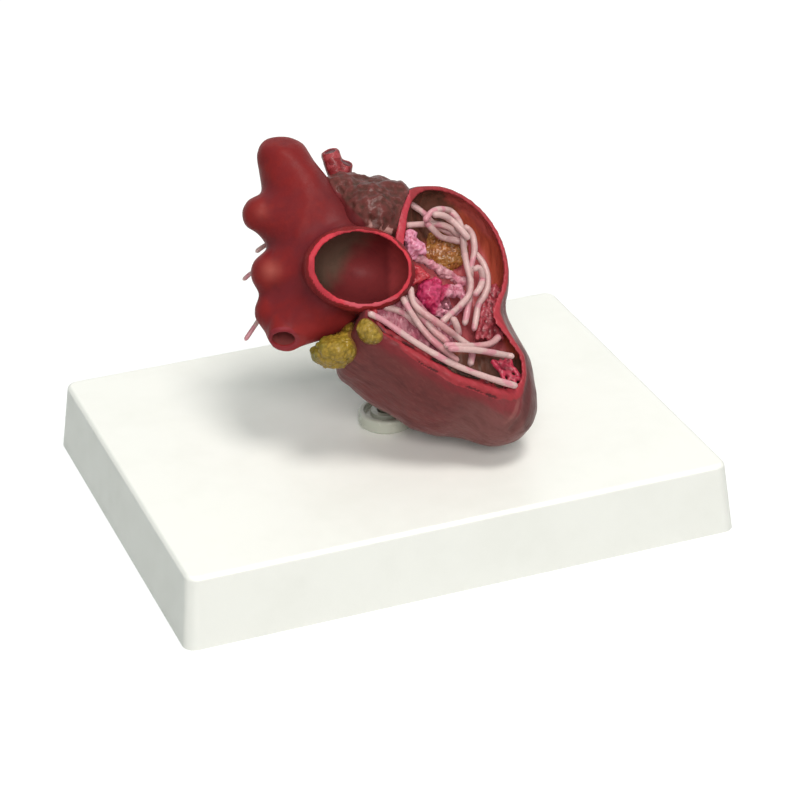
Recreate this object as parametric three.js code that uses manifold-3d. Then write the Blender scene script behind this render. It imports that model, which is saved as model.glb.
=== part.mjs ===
// A life-size teaching model of a dog's heart on its moulded stand. The heart is a painted casting with two
// windows: one in the wall of the right atrium, and one that takes the front off the right ventricle, so that
// the threadlike worms living among its flaps and muscles can be seen. The heart leans back on a short pin,
// turns on it and lifts off it. Millimetres and degrees, +Z up; the origin is the middle of the base's foot.
import * as THREE from "three";
import { mergeVertices } from "three/addons/utils/BufferGeometryUtils.js";
import Module from "manifold-3d";

const wasm = await Module();
wasm.setup();

// The base: a moulded tray, upside down, with sloping sides.
const BASE_LENGTH = 165;
const BASE_WIDTH = 127;
const BASE_HEIGHT = 21;
const BASE_DRAFT = 2.3; // how far each side leans in over the whole height
const BASE_WALL = 2.4;
const BASE_CORNER = 3.5;
const BASE_EDGE = 1.2; // rounding of the top edge
const RIB_THICK = 1.8;
const RIB_DEPTH = 4;
const RIB_SPACING = 54; // between the two ribs that run across
const CORNER_STEPS = 4;
const EDGE_STEPS = 2;
const BOSS_RADIUS = 9;
const BOSS_DEPTH = 9.3; // below the tray's top plate

// The stand: a ringed cup let into the base, and the pin that the heart turns on.
const CUP_RADIUS = 8.2;
const CUP_HEIGHT = 4.3; // above the base
const CUP_RIM = 1.6;
const CUP_GROOVE_DEPTH = 1.6;
const CUP_COLLAR_RADIUS = 4.6; // the inner ring, round the pin
const SPIGOT_RADIUS = 5;
const CUP_FLOOR = 1.6; // between the pin's seat and the screw's hole
const PIN_RADIUS = 2.45;
const PIN_DEPTH = 10.5; // how far the pin's hole goes down into the cup
const PIN_NECK = 5; // bare pin between the cup and the collar
const PIN_COLLAR_RADIUS = 3.7;
const PIN_COLLAR_THICK = 1.2;
const PIN_REACH = 12; // above the collar, inside the heart
const SLEEVE_RADIUS = 4.8;
const SLEEVE_CAP = 1.6;
const SCREW_RADIUS = 1.5;
const SCREW_HEAD_RADIUS = 3.2;
const SCREW_HEAD_HEIGHT = 2.2;
const SCREW_SLOT = 0.9;
const SCREW_SLACK = 0.15;
const WASHER_RADIUS = 7.2;
const WASHER_THICK = 1.2;
const STAND_SIDES = 18; // of each turned piece

// How the heart sits over the stand.
const HEART_LENGTH = 112; // from the highest lobe to the tip of the ventricle
const HEART_DEPTH = 33.1; // from the heart's middle down to its underside, over the pin, in a heart this long
const HEART_SINK = 0.6; // of the underside round the pin, below the top of the pin's collar
const HEART_TURN = -21; // its face is turned to the left
const HEART_LEAN = 28.2; // and leans back

// The castings: their walls, and the planes that open them.
const VENTRICLE_WALL = 2.4;
const VENTRICLE_FACING = [0.429, -1, 0.409]; // the way that its window looks
const VENTRICLE_WINDOW = 15.5; // from the heart's middle to that window
const CHAMBER_DEPTH = 12; // behind it
const ATRIUM_WALL = 1.4;
const ROOM_SHIFT = [0.7, 0, 0.3]; // of the atrium's room in its casting, which thins the wall on the right
const ATRIUM_WINDOW = 22; // from the heart's middle to the plane that cuts the atrium off
const CAVA_RADIUS = 4.5; // of the lower vein's stub
const CAVA_WALL = 1.4;
const CAVA_DEPTH = 7;
const ARTERY_RADIUS = 5.4;
const ARTERY_WALL = 1.6;
const ARTERY_DEPTH = 9; // of its bore
const VEIN_RADIUS = 4.2; // of the lung veins' stubs
const VEIN_WALL = 1.2;
const VEIN_DEPTH = 6;
const ARCH_RADIUS = 5.6;

// The worms, and what they lie among.
const WORM_RADIUS = 1;
const WORM_BEND = 5; // the tightest bend of a worm that lies over another
const NET_RADIUS = 0.8; // of the muscle cords on the wall
const LEAFLET_DEPTH = 4.2; // its back, behind the ventricle's window
const LEAFLET_THICK = 1;

// Clearances between separate pieces.
const SEAM = 0.3; // between castings that lie against each other
const RUNNING = 0.25; // round the pin, which turns and slides
const LAY_SLACK = 0.1; // more, between worms that cross

// Steps that follow a curve, and reaches past all that is cut.
const SPOT = 0.5; // between the places along a worm where it is laid down
const SPOTS_KEPT = 4; // one in so many bends the worm
const LEAFLET_SPOTS = 28; // along the leaflet
const LEAFLET_LINES = 10; // across it
const REACH = 80;
const FAR = 2 * REACH;

// Paints, plastics and metals.
const BASE_WHITE = { color: 0xf6f4ee, roughness: 0.45 };
const CUP_GREY = { color: 0xd4d4c6, roughness: 0.4 };
const SLEEVE_GREY = { color: 0xc9c9bd, roughness: 0.5 };
const ZINC = { color: 0xb8babb, roughness: 0.35, metalness: 0.9 };
const DARK_STEEL = { color: 0x4b4a48, roughness: 0.4, metalness: 0.6 };
const FLESH = { color: 0x7f3438, roughness: 0.4 };
const ATRIUM_RED = { color: 0x8a2c2c, roughness: 0.4 };
const AURICLE_BROWN = { color: 0x643a37, roughness: 0.4 };
const ARCH_RED = { color: 0x89312f, roughness: 0.4 };
const BACK_RED = { color: 0x7a3434, roughness: 0.4 };
const ARTERY_RED = { color: 0x6c3b46, roughness: 0.4 };
const FAT_YELLOW = { color: 0x99803c, roughness: 0.4 };
const NET_RED = { color: 0x9c3a44, roughness: 0.4 };
const LEAFLET_PINK = { color: 0xc07c88, roughness: 0.4 };
const AMBER = { color: 0x9c6a32, roughness: 0.3 };
const MAGENTA = { color: 0xc5345c, roughness: 0.35 };
const BAND_PINK = { color: 0xb8707c, roughness: 0.4 };
const KNOT_PINK = { color: 0xbc4f5d, roughness: 0.4 };
const STRUT_RED = { color: 0xa93a3c, roughness: 0.4 };
const PALE_WORM = { color: 0xd29fa0, roughness: 0.35 };

// Solids: a closed geometry becomes a solid that can be joined and cut, and goes back to a geometry.
function solid(geometry) {
  const bare = geometry.clone();
  bare.deleteAttribute("normal");
  bare.deleteAttribute("uv");
  const merged = mergeVertices(bare, 1e-4);
  return new wasm.Manifold(
    new wasm.Mesh({
      numProp: 3,
      vertProperties: merged.attributes.position.array,
      triVerts: new Uint32Array(merged.index.array),
    }),
  );
}

function geometryOf(body) {
  const mesh = body.getMesh();
  const geometry = new THREE.BufferGeometry();
  geometry.setAttribute("position", new THREE.BufferAttribute(new Float32Array(mesh.vertProperties), 3));
  geometry.setIndex(new THREE.BufferAttribute(new Uint32Array(mesh.triVerts), 1));
  geometry.computeVertexNormals();
  return geometry;
}

const join = (first, ...others) => others.reduce((sum, other) => sum.add(other), first);
const cut = (first, ...others) => others.reduce((rest, other) => rest.subtract(other), first);

// The largest piece of a solid, without the crumbs that a cut can leave.
function largest(body) {
  return body.decompose().reduce((best, piece) => (piece.volume() > best.volume() ? piece : best));
}

// A turned piece, from its half outline in radius and height, which starts and ends on the axis.
function turned(outline, sides = STAND_SIDES) {
  const points = outline.map(([radius, height]) => new THREE.Vector2(radius, height));
  return new THREE.LatheGeometry(points, sides).rotateX(Math.PI / 2);
}

function drum(radius, low, high, sides = STAND_SIDES) {
  return turned([[0, low], [radius, low], [radius, high], [0, high]], sides);
}

function block(width, depth, height, x, y, z) {
  return new THREE.BoxGeometry(width, depth, height).translate(x, y, z);
}

// A rounded rectangle, drawn in by an inset, as a ring of corners at one height.
function ring(inset, height) {
  const corners = [];
  const corner = Math.max(BASE_CORNER - inset / 2, 1);
  const reachX = BASE_LENGTH / 2 - inset - corner;
  const reachY = BASE_WIDTH / 2 - inset - corner;
  for (let i = 0; i < 4; i += 1) {
    const sideX = i === 0 || i === 3 ? 1 : -1;
    const sideY = i < 2 ? 1 : -1;
    for (let j = 0; j <= CORNER_STEPS; j += 1) {
      const turn = ((i + j / CORNER_STEPS) * Math.PI) / 2;
      const [x, y] = [corner * Math.cos(turn), corner * Math.sin(turn)];
      corners.push([sideX * reachX + x, sideY * reachY + y, height]);
    }
  }
  return corners;
}

// A solid through a stack of rings, lowest first, closed at both ends.
function loft(rings) {
  const count = rings[0].length;
  const faces = [];
  for (let level = 0; level + 1 < rings.length; level += 1) {
    for (let i = 0; i < count; i += 1) {
      const [a, b] = [level * count + i, level * count + ((i + 1) % count)];
      faces.push(a, b, b + count, a, b + count, a + count);
    }
  }
  const last = (rings.length - 1) * count;
  for (let i = 1; i + 1 < count; i += 1) {
    faces.push(0, i + 1, i, last, last + i, last + i + 1);
  }
  const geometry = new THREE.BufferGeometry();
  geometry.setAttribute("position", new THREE.Float32BufferAttribute(rings.flat(2), 3));
  geometry.setIndex(faces);
  return solid(geometry);
}

const through = (spots) => new THREE.CatmullRomCurve3(spots, false, "centripetal");

// A strand of even thickness along its places, in steps that are counted in its own thickness, or the rut
// that it leaves in what it lies against.
function strand(spots, radius, { sides = 6, stride = 1.5, grown = 0 } = {}) {
  const path = through(spots);
  const corners = [];
  for (let i = 0; i < sides; i += 1) {
    const turn = (i / sides) * 2 * Math.PI;
    corners.push(new THREE.Vector2(Math.cos(turn), Math.sin(turn)).multiplyScalar(radius + grown));
  }
  const steps = Math.ceil(path.getLength() / (2 * radius * stride));
  const settings = { steps, extrudePath: path, bevelEnabled: false };
  return solid(new THREE.ExtrudeGeometry(new THREE.Shape(corners), settings));
}

// The heart's soft forms are drawn for a heart of this length, and grow with it.
const grow = HEART_LENGTH / 112;
const place = (x, y, z) => new THREE.Vector3(x, y, z).multiplyScalar(grow);
const radians = THREE.MathUtils.degToRad;

// A form tells how far a point lies outside a soft shape. A limb runs between two points, swelling from one
// radius to the other; deep stretches it from front to back.
function limb(start, end, startRadius, endRadius, deep = 1) {
  const from = place(start[0], start[1] / deep, start[2]);
  const along = place(end[0], end[1] / deep, end[2]).sub(from);
  return (p) => {
    const reach = new THREE.Vector3(p.x, p.y / deep, p.z).sub(from);
    const share = THREE.MathUtils.clamp(reach.dot(along) / along.lengthSq(), 0, 1);
    const radius = THREE.MathUtils.lerp(startRadius, endRadius, share) * grow;
    return reach.addScaledVector(along, -share).length() - radius;
  };
}

// An egg of three half sizes, tilted in the picture's plane.
function egg(middle, halves, tilt = 0) {
  const turn = new THREE.Quaternion().setFromAxisAngle(new THREE.Vector3(0, 1, 0), radians(tilt));
  const half = place(...halves);
  return (p) => {
    const scaled = p.clone().sub(place(...middle)).applyQuaternion(turn).divide(half);
    const reach = scaled.length();
    const slope = scaled.divide(half).length();
    return slope > 0 ? (reach * (reach - 1)) / slope : -Math.min(...half.toArray());
  };
}

// The far side of a plane through a spot, facing along a direction.
function beyond(spot, facing) {
  const normal = new THREE.Vector3(...facing).normalize();
  return (p) => p.clone().sub(place(...spot)).dot(normal);
}

function softer(a, b, soft) {
  const near = Math.max(soft - Math.abs(a - b), 0) / soft;
  return Math.min(a, b) - (near * near * soft) / 4;
}

const blend = (soft, ...forms) => (p) =>
  forms.map((form) => form(p)).reduce((a, b) => softer(a, b, soft * grow));
const within = (soft, form, limit) => (p) => -softer(-form(p), -limit(p), soft * grow);

// The skin of a form, grown outwards or shrunk: a ball's corners walk in along their rays until they meet it.
function skin(middle, form, detail, grown = 0) {
  const ball = new THREE.IcosahedronGeometry(1, detail);
  ball.deleteAttribute("normal");
  ball.deleteAttribute("uv");
  const mesh = mergeVertices(ball, 1e-5);
  const corners = mesh.attributes.position;
  const core = place(...middle);
  const ray = new THREE.Vector3();
  const outside = (reach) => form(core.clone().addScaledVector(ray, reach)) > grown;
  for (let i = 0; i < corners.count; i += 1) {
    ray.fromBufferAttribute(corners, i).normalize();
    let inner = REACH;
    while (inner > 0 && outside(inner)) {
      inner -= 1;
    }
    let outer = inner + 1;
    for (let step = 0; step < 12; step += 1) {
      const half = (inner + outer) / 2;
      if (outside(half)) {
        outer = half;
      } else {
        inner = half;
      }
    }
    corners.setXYZ(i, ...core.clone().addScaledVector(ray, inner).toArray());
  }
  return solid(mesh);
}

// Heights along the upright axis of the cup, the pin and the sleeve.
const trayTop = BASE_HEIGHT - BASE_WALL;
const bossFoot = trayTop - BOSS_DEPTH;
const cupTop = BASE_HEIGHT + CUP_HEIGHT;
const pinSeat = cupTop - PIN_DEPTH;
const collarTop = cupTop + PIN_NECK + PIN_COLLAR_THICK;
const pinTop = collarTop + PIN_REACH;
const sleeveFoot = collarTop + SEAM;
const sleeveTop = pinTop + SEAM + SLEEVE_CAP;

// The heart's own frame, which leans back over the pin: X to the right, Y away from the viewer, Z up its
// face.
const model = new THREE.Group();
const heart = new THREE.Group();
heart.rotation.set(-radians(HEART_LEAN), 0, radians(HEART_TURN), "ZYX");
heart.position.set(0, 0, collarTop - HEART_SINK + HEART_DEPTH * grow);
heart.updateMatrix();
model.add(heart);

function add(group, name, body, paint) {
  const geometry = body.isBufferGeometry ? body : geometryOf(body);
  const mesh = new THREE.Mesh(geometry, new THREE.MeshStandardMaterial(paint));
  mesh.name = name;
  group.add(mesh);
}

function baseShell() {
  const lean = (height) => (BASE_DRAFT * height) / BASE_HEIGHT;
  const outer = [ring(0, 0)];
  for (let i = 0; i <= EDGE_STEPS; i += 1) {
    const turn = ((i / EDGE_STEPS) * Math.PI) / 2;
    const height = BASE_HEIGHT - BASE_EDGE * (1 - Math.sin(turn));
    outer.push(ring(lean(height) + BASE_EDGE * (1 - Math.cos(turn)), height));
  }
  const inner = [ring(BASE_WALL + lean(-1), -1), ring(BASE_WALL + lean(trayTop), trayTop)];
  const ribHeight = trayTop - RIB_DEPTH / 2;
  const ribs = [solid(block(BASE_LENGTH, RIB_THICK, RIB_DEPTH, 0, 0, ribHeight))];
  for (const side of [-1, 1]) {
    ribs.push(solid(block(RIB_THICK, BASE_WIDTH, RIB_DEPTH, (side * RIB_SPACING) / 2, 0, ribHeight)));
  }
  const hollow = cut(loft(inner), ...ribs, solid(drum(BOSS_RADIUS, bossFoot, BASE_HEIGHT)));
  return cut(loft(outer), hollow, solid(drum(SPIGOT_RADIUS + SEAM, 0, BASE_HEIGHT + 1)));
}

function standCup() {
  const pilot = SCREW_RADIUS + SCREW_SLACK;
  const pilotTop = pinSeat - CUP_FLOOR;
  const foot = bossFoot + SEAM;
  const bore = PIN_RADIUS + RUNNING;
  const bevel = CUP_RIM / 3;
  return turned([
    [0, pilotTop],
    [pilot, pilotTop],
    [pilot, foot],
    [SPIGOT_RADIUS, foot],
    [SPIGOT_RADIUS, BASE_HEIGHT],
    [CUP_RADIUS - bevel, BASE_HEIGHT],
    [CUP_RADIUS, BASE_HEIGHT + bevel],
    [CUP_RADIUS, cupTop - bevel],
    [CUP_RADIUS - bevel, cupTop],
    [CUP_RADIUS - CUP_RIM, cupTop],
    [CUP_RADIUS - CUP_RIM, cupTop - CUP_GROOVE_DEPTH],
    [CUP_COLLAR_RADIUS, cupTop - CUP_GROOVE_DEPTH],
    [CUP_COLLAR_RADIUS, cupTop],
    [bore, cupTop],
    [bore, pinSeat],
    [0, pinSeat],
  ]);
}

function cupWasher() {
  const hole = SCREW_RADIUS + SCREW_SLACK;
  return turned([
    [hole, bossFoot - WASHER_THICK],
    [WASHER_RADIUS, bossFoot - WASHER_THICK],
    [WASHER_RADIUS, bossFoot],
    [hole, bossFoot],
    [hole, bossFoot - WASHER_THICK],
  ]);
}

function cupScrew() {
  const head = bossFoot - WASHER_THICK;
  const tip = pinSeat - CUP_FLOOR - SEAM;
  const crown = SCREW_HEAD_HEIGHT / 2;
  const slot = block(3 * SCREW_HEAD_RADIUS, SCREW_SLOT, crown, 0, 0, head - SCREW_HEAD_HEIGHT + crown / 2);
  const body = turned([
    [0, head - SCREW_HEAD_HEIGHT],
    [SCREW_HEAD_RADIUS * 0.7, head - SCREW_HEAD_HEIGHT],
    [SCREW_HEAD_RADIUS, head - crown],
    [SCREW_HEAD_RADIUS, head],
    [SCREW_RADIUS, head],
    [SCREW_RADIUS, tip - SCREW_RADIUS / 2],
    [SCREW_RADIUS / 2, tip],
    [0, tip],
  ]);
  return cut(solid(body), solid(slot));
}

function standPin() {
  const bevel = PIN_RADIUS / 4;
  return turned([
    [0, pinSeat + SEAM],
    [PIN_RADIUS, pinSeat + SEAM],
    [PIN_RADIUS, collarTop - PIN_COLLAR_THICK],
    [PIN_COLLAR_RADIUS, collarTop - PIN_COLLAR_THICK],
    [PIN_COLLAR_RADIUS, collarTop],
    [PIN_RADIUS, collarTop],
    [PIN_RADIUS, pinTop - bevel],
    [PIN_RADIUS - bevel, pinTop],
    [0, pinTop],
  ]);
}

// The sleeve is let into the underside of the heart, and the pin turns in it.
function pinSleeve() {
  const bore = PIN_RADIUS + RUNNING;
  return turned([
    [0, pinTop + SEAM],
    [bore, pinTop + SEAM],
    [bore, sleeveFoot],
    [SLEEVE_RADIUS, sleeveFoot],
    [SLEEVE_RADIUS, sleeveTop],
    [0, sleeveTop],
  ]);
}
const sleeveDrum = drum(SLEEVE_RADIUS + SEAM, BASE_HEIGHT, sleeveTop + SEAM);
const sleeveHole = solid(sleeveDrum.applyMatrix4(heart.matrix.clone().invert()));

add(model, "base_shell", baseShell(), BASE_WHITE);
add(model, "stand_cup", standCup(), CUP_GREY);
add(model, "cup_washer", cupWasher(), ZINC);
add(model, "cup_screw", cupScrew(), ZINC);
add(model, "stand_pin", standPin(), DARK_STEEL);
add(model, "pin_sleeve", pinSleeve(), SLEEVE_GREY);

// The planes that open the castings, each with all that lies in front of it.
const windowFacing = new THREE.Vector3(...VENTRICLE_FACING).normalize();
const behindWindow = (p) => VENTRICLE_WINDOW - p.dot(windowFacing);
function frontOf(facing, distance) {
  const turn = new THREE.Quaternion().setFromUnitVectors(new THREE.Vector3(0, 0, 1), facing);
  const slab = new THREE.BoxGeometry(FAR, FAR, FAR).translate(0, 0, distance + FAR / 2);
  return solid(slab.applyQuaternion(turn));
}

// The ventricle: a shoulder under the auricle, a broad belly and a blunt tip, hollowed behind its window.
const ventricleMiddle = [15, 2, -8];
const ventricleForm = within(
  4,
  blend(
    4,
    limb([4.2, 2, -8], [19.5, 2, -20], 24.6, 21.2, 1.12),
    limb([19.5, 2, -20], [32.3, -2, -34.5], 21.2, 10.5, 1.12),
    egg([13, 2, 5.8], [22.4, 20, 22.4]),
  ),
  blend(2, beyond([4.2, 0, 20], [-1, 0, 0.08]), beyond([4.5, 0, 20], [-0.914, 0, 0.406])),
);
const septumForm = blend(4, (p) => CHAMBER_DEPTH - behindWindow(p), egg([8, 16, -20], [22, 20, 19]));
const chamberMiddle = [20, -8, -2];
const chamberForm = within(3, (p) => ventricleForm(p) + VENTRICLE_WALL, (p) => -septumForm(p));

// The atrium: a room behind its window, and the lobes of its left side.
const atrialRoomMiddle = [-6.5, -15, 4.9];
const atrialRoomForm = egg(atrialRoomMiddle, [16, 22, 12.2], -7);
const atriumMiddle = [-15, -3, 7];
const atriumForm = blend(
  4,
  atrialRoomForm,
  limb([-18, 4, 8], [-6, 6, 6], 13, 12),
  within(3, limb([-20, 0, 14], [-27.9, 0, 38], 13, 7.4), beyond([-28, 0, 43.2], [0, 0, 1])),
  limb([-24, -4, 18], [-33.7, -5, 22.4], 9, 5.8),
  limb([-20, -6, 6], [-31.6, -7, 5.6], 9, 5.4),
  limb([-20, -6, -4], [-31, -6, -6], 9, 5.6),
  limb([-16, -8, -4], [-27.6, -9.5, -12], 9, 5.6),
);

// The auricle lies between the two, and the left atrium closes the back.
const auricleMiddle = [-2, 4, 20];
const auricleForm = blend(
  3,
  egg([-3, 4, 20], [11, 18, 12.5]),
  egg([-11.5, 1, 27], [7, 8, 6.8]),
  egg([4, 0, 22], [6, 8, 8.5]),
);
const leftAtriumMiddle = [-10, 14, 4];
const leftAtriumForm = egg(leftAtriumMiddle, [17, 12, 14]);

// A casting's skin, and the room that its neighbours leave for it.
const casting = (middle, form, detail) => ({
  body: skin(middle, form, detail),
  room: skin(middle, form, detail, SEAM),
});
const ventricleCasting = casting(ventricleMiddle, ventricleForm, 8);
const atriumCasting = casting(atriumMiddle, atriumForm, 8);
const auricleCasting = casting(auricleMiddle, auricleForm, 4);
const leftAtriumCasting = casting(leftAtriumMiddle, leftAtriumForm, 3);
const chamberSpace = skin(chamberMiddle, chamberForm, 5);
const chamberRoom = skin(chamberMiddle, chamberForm, 5, -SEAM);
const wallRoom = cut(ventricleCasting.room, chamberRoom, frontOf(windowFacing, VENTRICLE_WINDOW + SEAM));
const frontRooms = [atriumCasting.room, ventricleCasting.room];

function ventriclePiece() {
  const front = frontOf(windowFacing, VENTRICLE_WINDOW);
  return largest(cut(ventricleCasting.body, chamberSpace, front, atriumCasting.room, sleeveHole));
}

// The cut end of a vessel: a short cone from its face back into the heart, its bore, and what is past it.
function vesselEnd({ face, inwards, radius, wall, length, depth }) {
  const facing = new THREE.Vector3(...inwards).normalize();
  const turn = new THREE.Quaternion().setFromUnitVectors(new THREE.Vector3(0, 0, 1), facing);
  const bevel = wall / 4;
  const root = length * grow;
  const cone = turned([[0, 0], [radius - bevel, 0], [radius, bevel], [radius * 1.15, root], [0, root]], 12);
  const bore = turned([[0, -1], [radius - wall, -1], [radius - wall, depth - 1], [0, depth]], 12);
  const pastFace = block(3 * radius, 3 * radius, radius, 0, 0, -radius / 2);
  const spot = place(...face).toArray();
  return [cone, bore, pastFace].map((shape) => solid(shape.applyQuaternion(turn).translate(...spot)));
}

function withVessel(body, vessel) {
  const [cone, bore, pastFace] = vesselEnd(vessel);
  return cut(join(cut(body, pastFace), cone), bore);
}

function atriumPiece() {
  const body = withVessel(atriumCasting.body, {
    face: [-28.3, -12.6, -14.2],
    inwards: [0.03, 0.62, 0.78],
    radius: CAVA_RADIUS,
    wall: CAVA_WALL,
    length: 5,
    depth: CAVA_DEPTH,
  });
  const shift = place(...ROOM_SHIFT);
  const hollow = skin(atrialRoomMiddle, (p) => atrialRoomForm(p.clone().sub(shift)) + ATRIUM_WALL, 4);
  return largest(cut(body, hollow, frontOf(new THREE.Vector3(0, -1, 0), ATRIUM_WINDOW)));
}

// The aorta rises behind the auricle, and two arteries leave its arch as cut stubs.
function archSkins(grown) {
  const trunk = skin([-7, 10, 26], limb([-5, 12, 24], [-9, 8, 28.5], ARCH_RADIUS, ARCH_RADIUS), 2, grown);
  const neck = skin([-12, 6, 32], limb([-9, 8, 29], [-13.4, 5, 34], 4.6, 3), 2, grown);
  const large = skin([-14.4, 5, 37.5], limb([-13.6, 5, 34], [-15.2, 5, 38.4], 2.2, 2.7), 1, grown);
  const small = skin([-11.4, 5, 34.6], limb([-12, 5, 32], [-10.8, 5, 35.4], 2.2, 2), 1, grown);
  return join(trunk, neck, large, small);
}
const archRoom = archSkins(SEAM);

// The pulmonary artery is cut off short behind the heart, and worms hang out of its mouth.
const artery = {
  face: [-33, 10, 4],
  inwards: [1, -0.3, -0.2],
  radius: ARTERY_RADIUS,
  wall: ARTERY_WALL,
  length: 17,
  depth: ARTERY_DEPTH,
};
const arteryRoom = vesselEnd({ ...artery, radius: ARTERY_RADIUS + SEAM })[0];
function arteryPiece(ruts) {
  const [cone, bore] = vesselEnd(artery);
  return largest(cut(cone, ...frontRooms, bore, ...ruts));
}

// The left atrium has the cut ends of two lung veins.
function leftAtriumPiece() {
  const ends = [
    { face: [-24, 22, 13], inwards: [0.7, -0.5, -0.5] },
    { face: [-7, 28, 13.5], inwards: [0, -0.8, -0.6] },
  ];
  const vein = { radius: VEIN_RADIUS, wall: VEIN_WALL, length: 9, depth: VEIN_DEPTH };
  const body = ends.reduce((whole, end) => withVessel(whole, { ...end, ...vein }), leftAtriumCasting.body);
  return largest(cut(body, ...frontRooms, auricleCasting.room, archRoom, arteryRoom, sleeveHole));
}

add(heart, "ventricle_casting", ventriclePiece(), FLESH);
add(heart, "atrium_casting", atriumPiece(), ATRIUM_RED);
add(heart, "auricle_casting", largest(cut(auricleCasting.body, ...frontRooms, archRoom)), AURICLE_BROWN);
add(heart, "aortic_arch", largest(cut(archSkins(0), ...frontRooms)), ARCH_RED);
add(heart, "left_atrium_casting", leftAtriumPiece(), BACK_RED);

// Fat lies in the groove between the atrium and the ventricle.
const fatPads = {
  fat_pad_large: {
    middle: [-13, -12, -17.4],
    form: blend(2, egg([-13.8, -12, -17.8], [7, 10, 4.8], 12), egg([-10.4, -13, -14.8], [3, 8, 3.4])),
  },
  fat_pad_small: { middle: [-3.6, -20, -12.5], form: egg([-3.6, -20, -12.5], [3.3, 5, 4.3], 20) },
};
for (const [name, { middle, form }] of Object.entries(fatPads)) {
  add(heart, name, largest(cut(skin(middle, form, 4), ...frontRooms)), FAT_YELLOW);
}

// What grows in the ventricle, each with its form, and a place inside it. Each leaves room for the last.
const growths = {
  amber_lining: { paint: AMBER, middle: [18, 4, 12], form: egg([18, 6, 12], [7, 4.5, 5.5], 35) },
  papillary_muscle: {
    paint: MAGENTA,
    middle: [13, -5, -2],
    form: blend(
      2,
      limb([12.5, -8, -1.5], [15, 6, -6], 3.6, 5),
      egg([10.5, -9, -3.5], [2.6, 2.6, 2.8]),
      egg([14.6, -7, 1.6], [3.4, 2.6, 2.4]),
      egg([14, -9.5, -5], [2.2, 2.2, 3]),
    ),
  },
  moderator_band: {
    paint: BAND_PINK,
    middle: [17, -4.5, 5.6],
    form: limb([10.5, -5.6, 9.6], [24, -1, 0], 2, 2.2),
  },
  valve_knot: {
    paint: KNOT_PINK,
    middle: [8.6, -7.4, 12.4],
    form: blend(
      1.5,
      egg([7.4, -7.6, 14.6], [2.2, 2.4, 2.4]),
      egg([9.4, -8, 11.8], [2, 2.4, 2.2]),
      limb([8, -6, 13], [4, 2, 13], 2.4, 3.2),
    ),
  },
  septal_strut: {
    paint: STRUT_RED,
    middle: [9.6, -9, 3.4],
    form: blend(1, limb([6, -9, 6.6], [12, -9.6, 3.4], 1.9, 1), limb([6, -10, 0.4], [12, -9.6, 3.4], 1.6, 1)),
  },
};
const growthRooms = [];
for (const [name, { paint, middle, form }] of Object.entries(growths)) {
  const body = skin(middle, form, 2).intersect(chamberRoom);
  add(heart, name, largest(cut(body, atriumCasting.room, ...growthRooms)), paint);
  growthRooms.push(skin(middle, form, 2, SEAM));
}

// Places in the ventricle are given across its window, and by how deep they lie behind it.
const windowAt = (x, z) => (VENTRICLE_WINDOW - windowFacing.x * x - windowFacing.z * z) / windowFacing.y;
function sunk([across, up, depth]) {
  const [x, z] = [across * grow, up * grow];
  return new THREE.Vector3(x, windowAt(x, z) + depth, z);
}

// Worms lie over one another: each is laid down along its route, and lifted towards the viewer where it would
// run into one that lies there already, or into a growth.
const laid = [];
const growthForm = (p) => Math.min(...Object.values(growths).map(({ form }) => form(p)));
const spaced = (curve) => curve.getSpacedPoints(Math.ceil(curve.getLength() / SPOT));

function clearOf(spot, radius) {
  const clear = spot.clone();
  for (const other of laid) {
    const need = radius + other.radius + SEAM + LAY_SLACK;
    const aside = (spot.x - other.spot.x) ** 2 + (spot.z - other.spot.z) ** 2;
    if (aside < need * need) {
      clear.y = Math.min(clear.y, other.spot.y - Math.sqrt(need * need - aside));
    }
  }
  while (growthForm(clear) < radius + SEAM) {
    clear.y -= LAY_SLACK;
  }
  return clear.y;
}

function lay(marks, radius) {
  const spots = spaced(through(marks));
  const heights = spots.map((spot) => clearOf(spot, radius));
  const lifted = spots.map((spot, i) => {
    const over = heights.map((height, j) => height + ((i - j) * SPOT) ** 2 / (2 * WORM_BEND));
    return new THREE.Vector3(spot.x, Math.min(...over), spot.z);
  });
  lifted.forEach((spot) => laid.push({ spot, radius }));
  return lifted.filter((_, i) => i % SPOTS_KEPT === 0 || i === lifted.length - 1);
}

// The valve's leaflet, a torn sheet that hangs under the atrium's window, and the worms lie over it.
const flat = (corners) => corners.map(([x, z]) => new THREE.Vector2(x, z).multiplyScalar(grow));
const sheetTop = [[-4, -5.5], [4, -1], [9.5, -3.5], [13.5, -8.5], [19, -14.5], [20, -18.5]];
const sheetFoot = [[-1, -8], [7, -12], [14.5, -16.6]];
const tears = [[5.3, -7.8, 1.4], [12.6, -11.6, 1.5], [16.6, -14.4, 1.2]];

function valveLeaflet() {
  const sheet = new THREE.Shape(flat([...sheetTop, ...sheetFoot.toReversed()]));
  for (const [x, z, size] of tears) {
    const corners = [[x - size, z + 0.6], [x + 0.4, z - size], [x + size, z - 0.6], [x, z + size]];
    sheet.holes.push(new THREE.Shape(flat(corners)));
  }
  const behind = new THREE.Matrix4().set(
    1, 0, 0, 0,
    -windowFacing.x / windowFacing.y, -windowFacing.z / windowFacing.y, -1, windowAt(0, 0) + LEAFLET_DEPTH,
    0, 1, 0, 0,
    0, 0, 0, 1,
  );
  const leaflet = new THREE.ExtrudeGeometry(sheet, { depth: LEAFLET_THICK, bevelEnabled: false });
  const body = solid(leaflet.applyMatrix4(behind)).intersect(chamberRoom);
  return largest(cut(body, ...growthRooms, atriumCasting.room));
}

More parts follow.
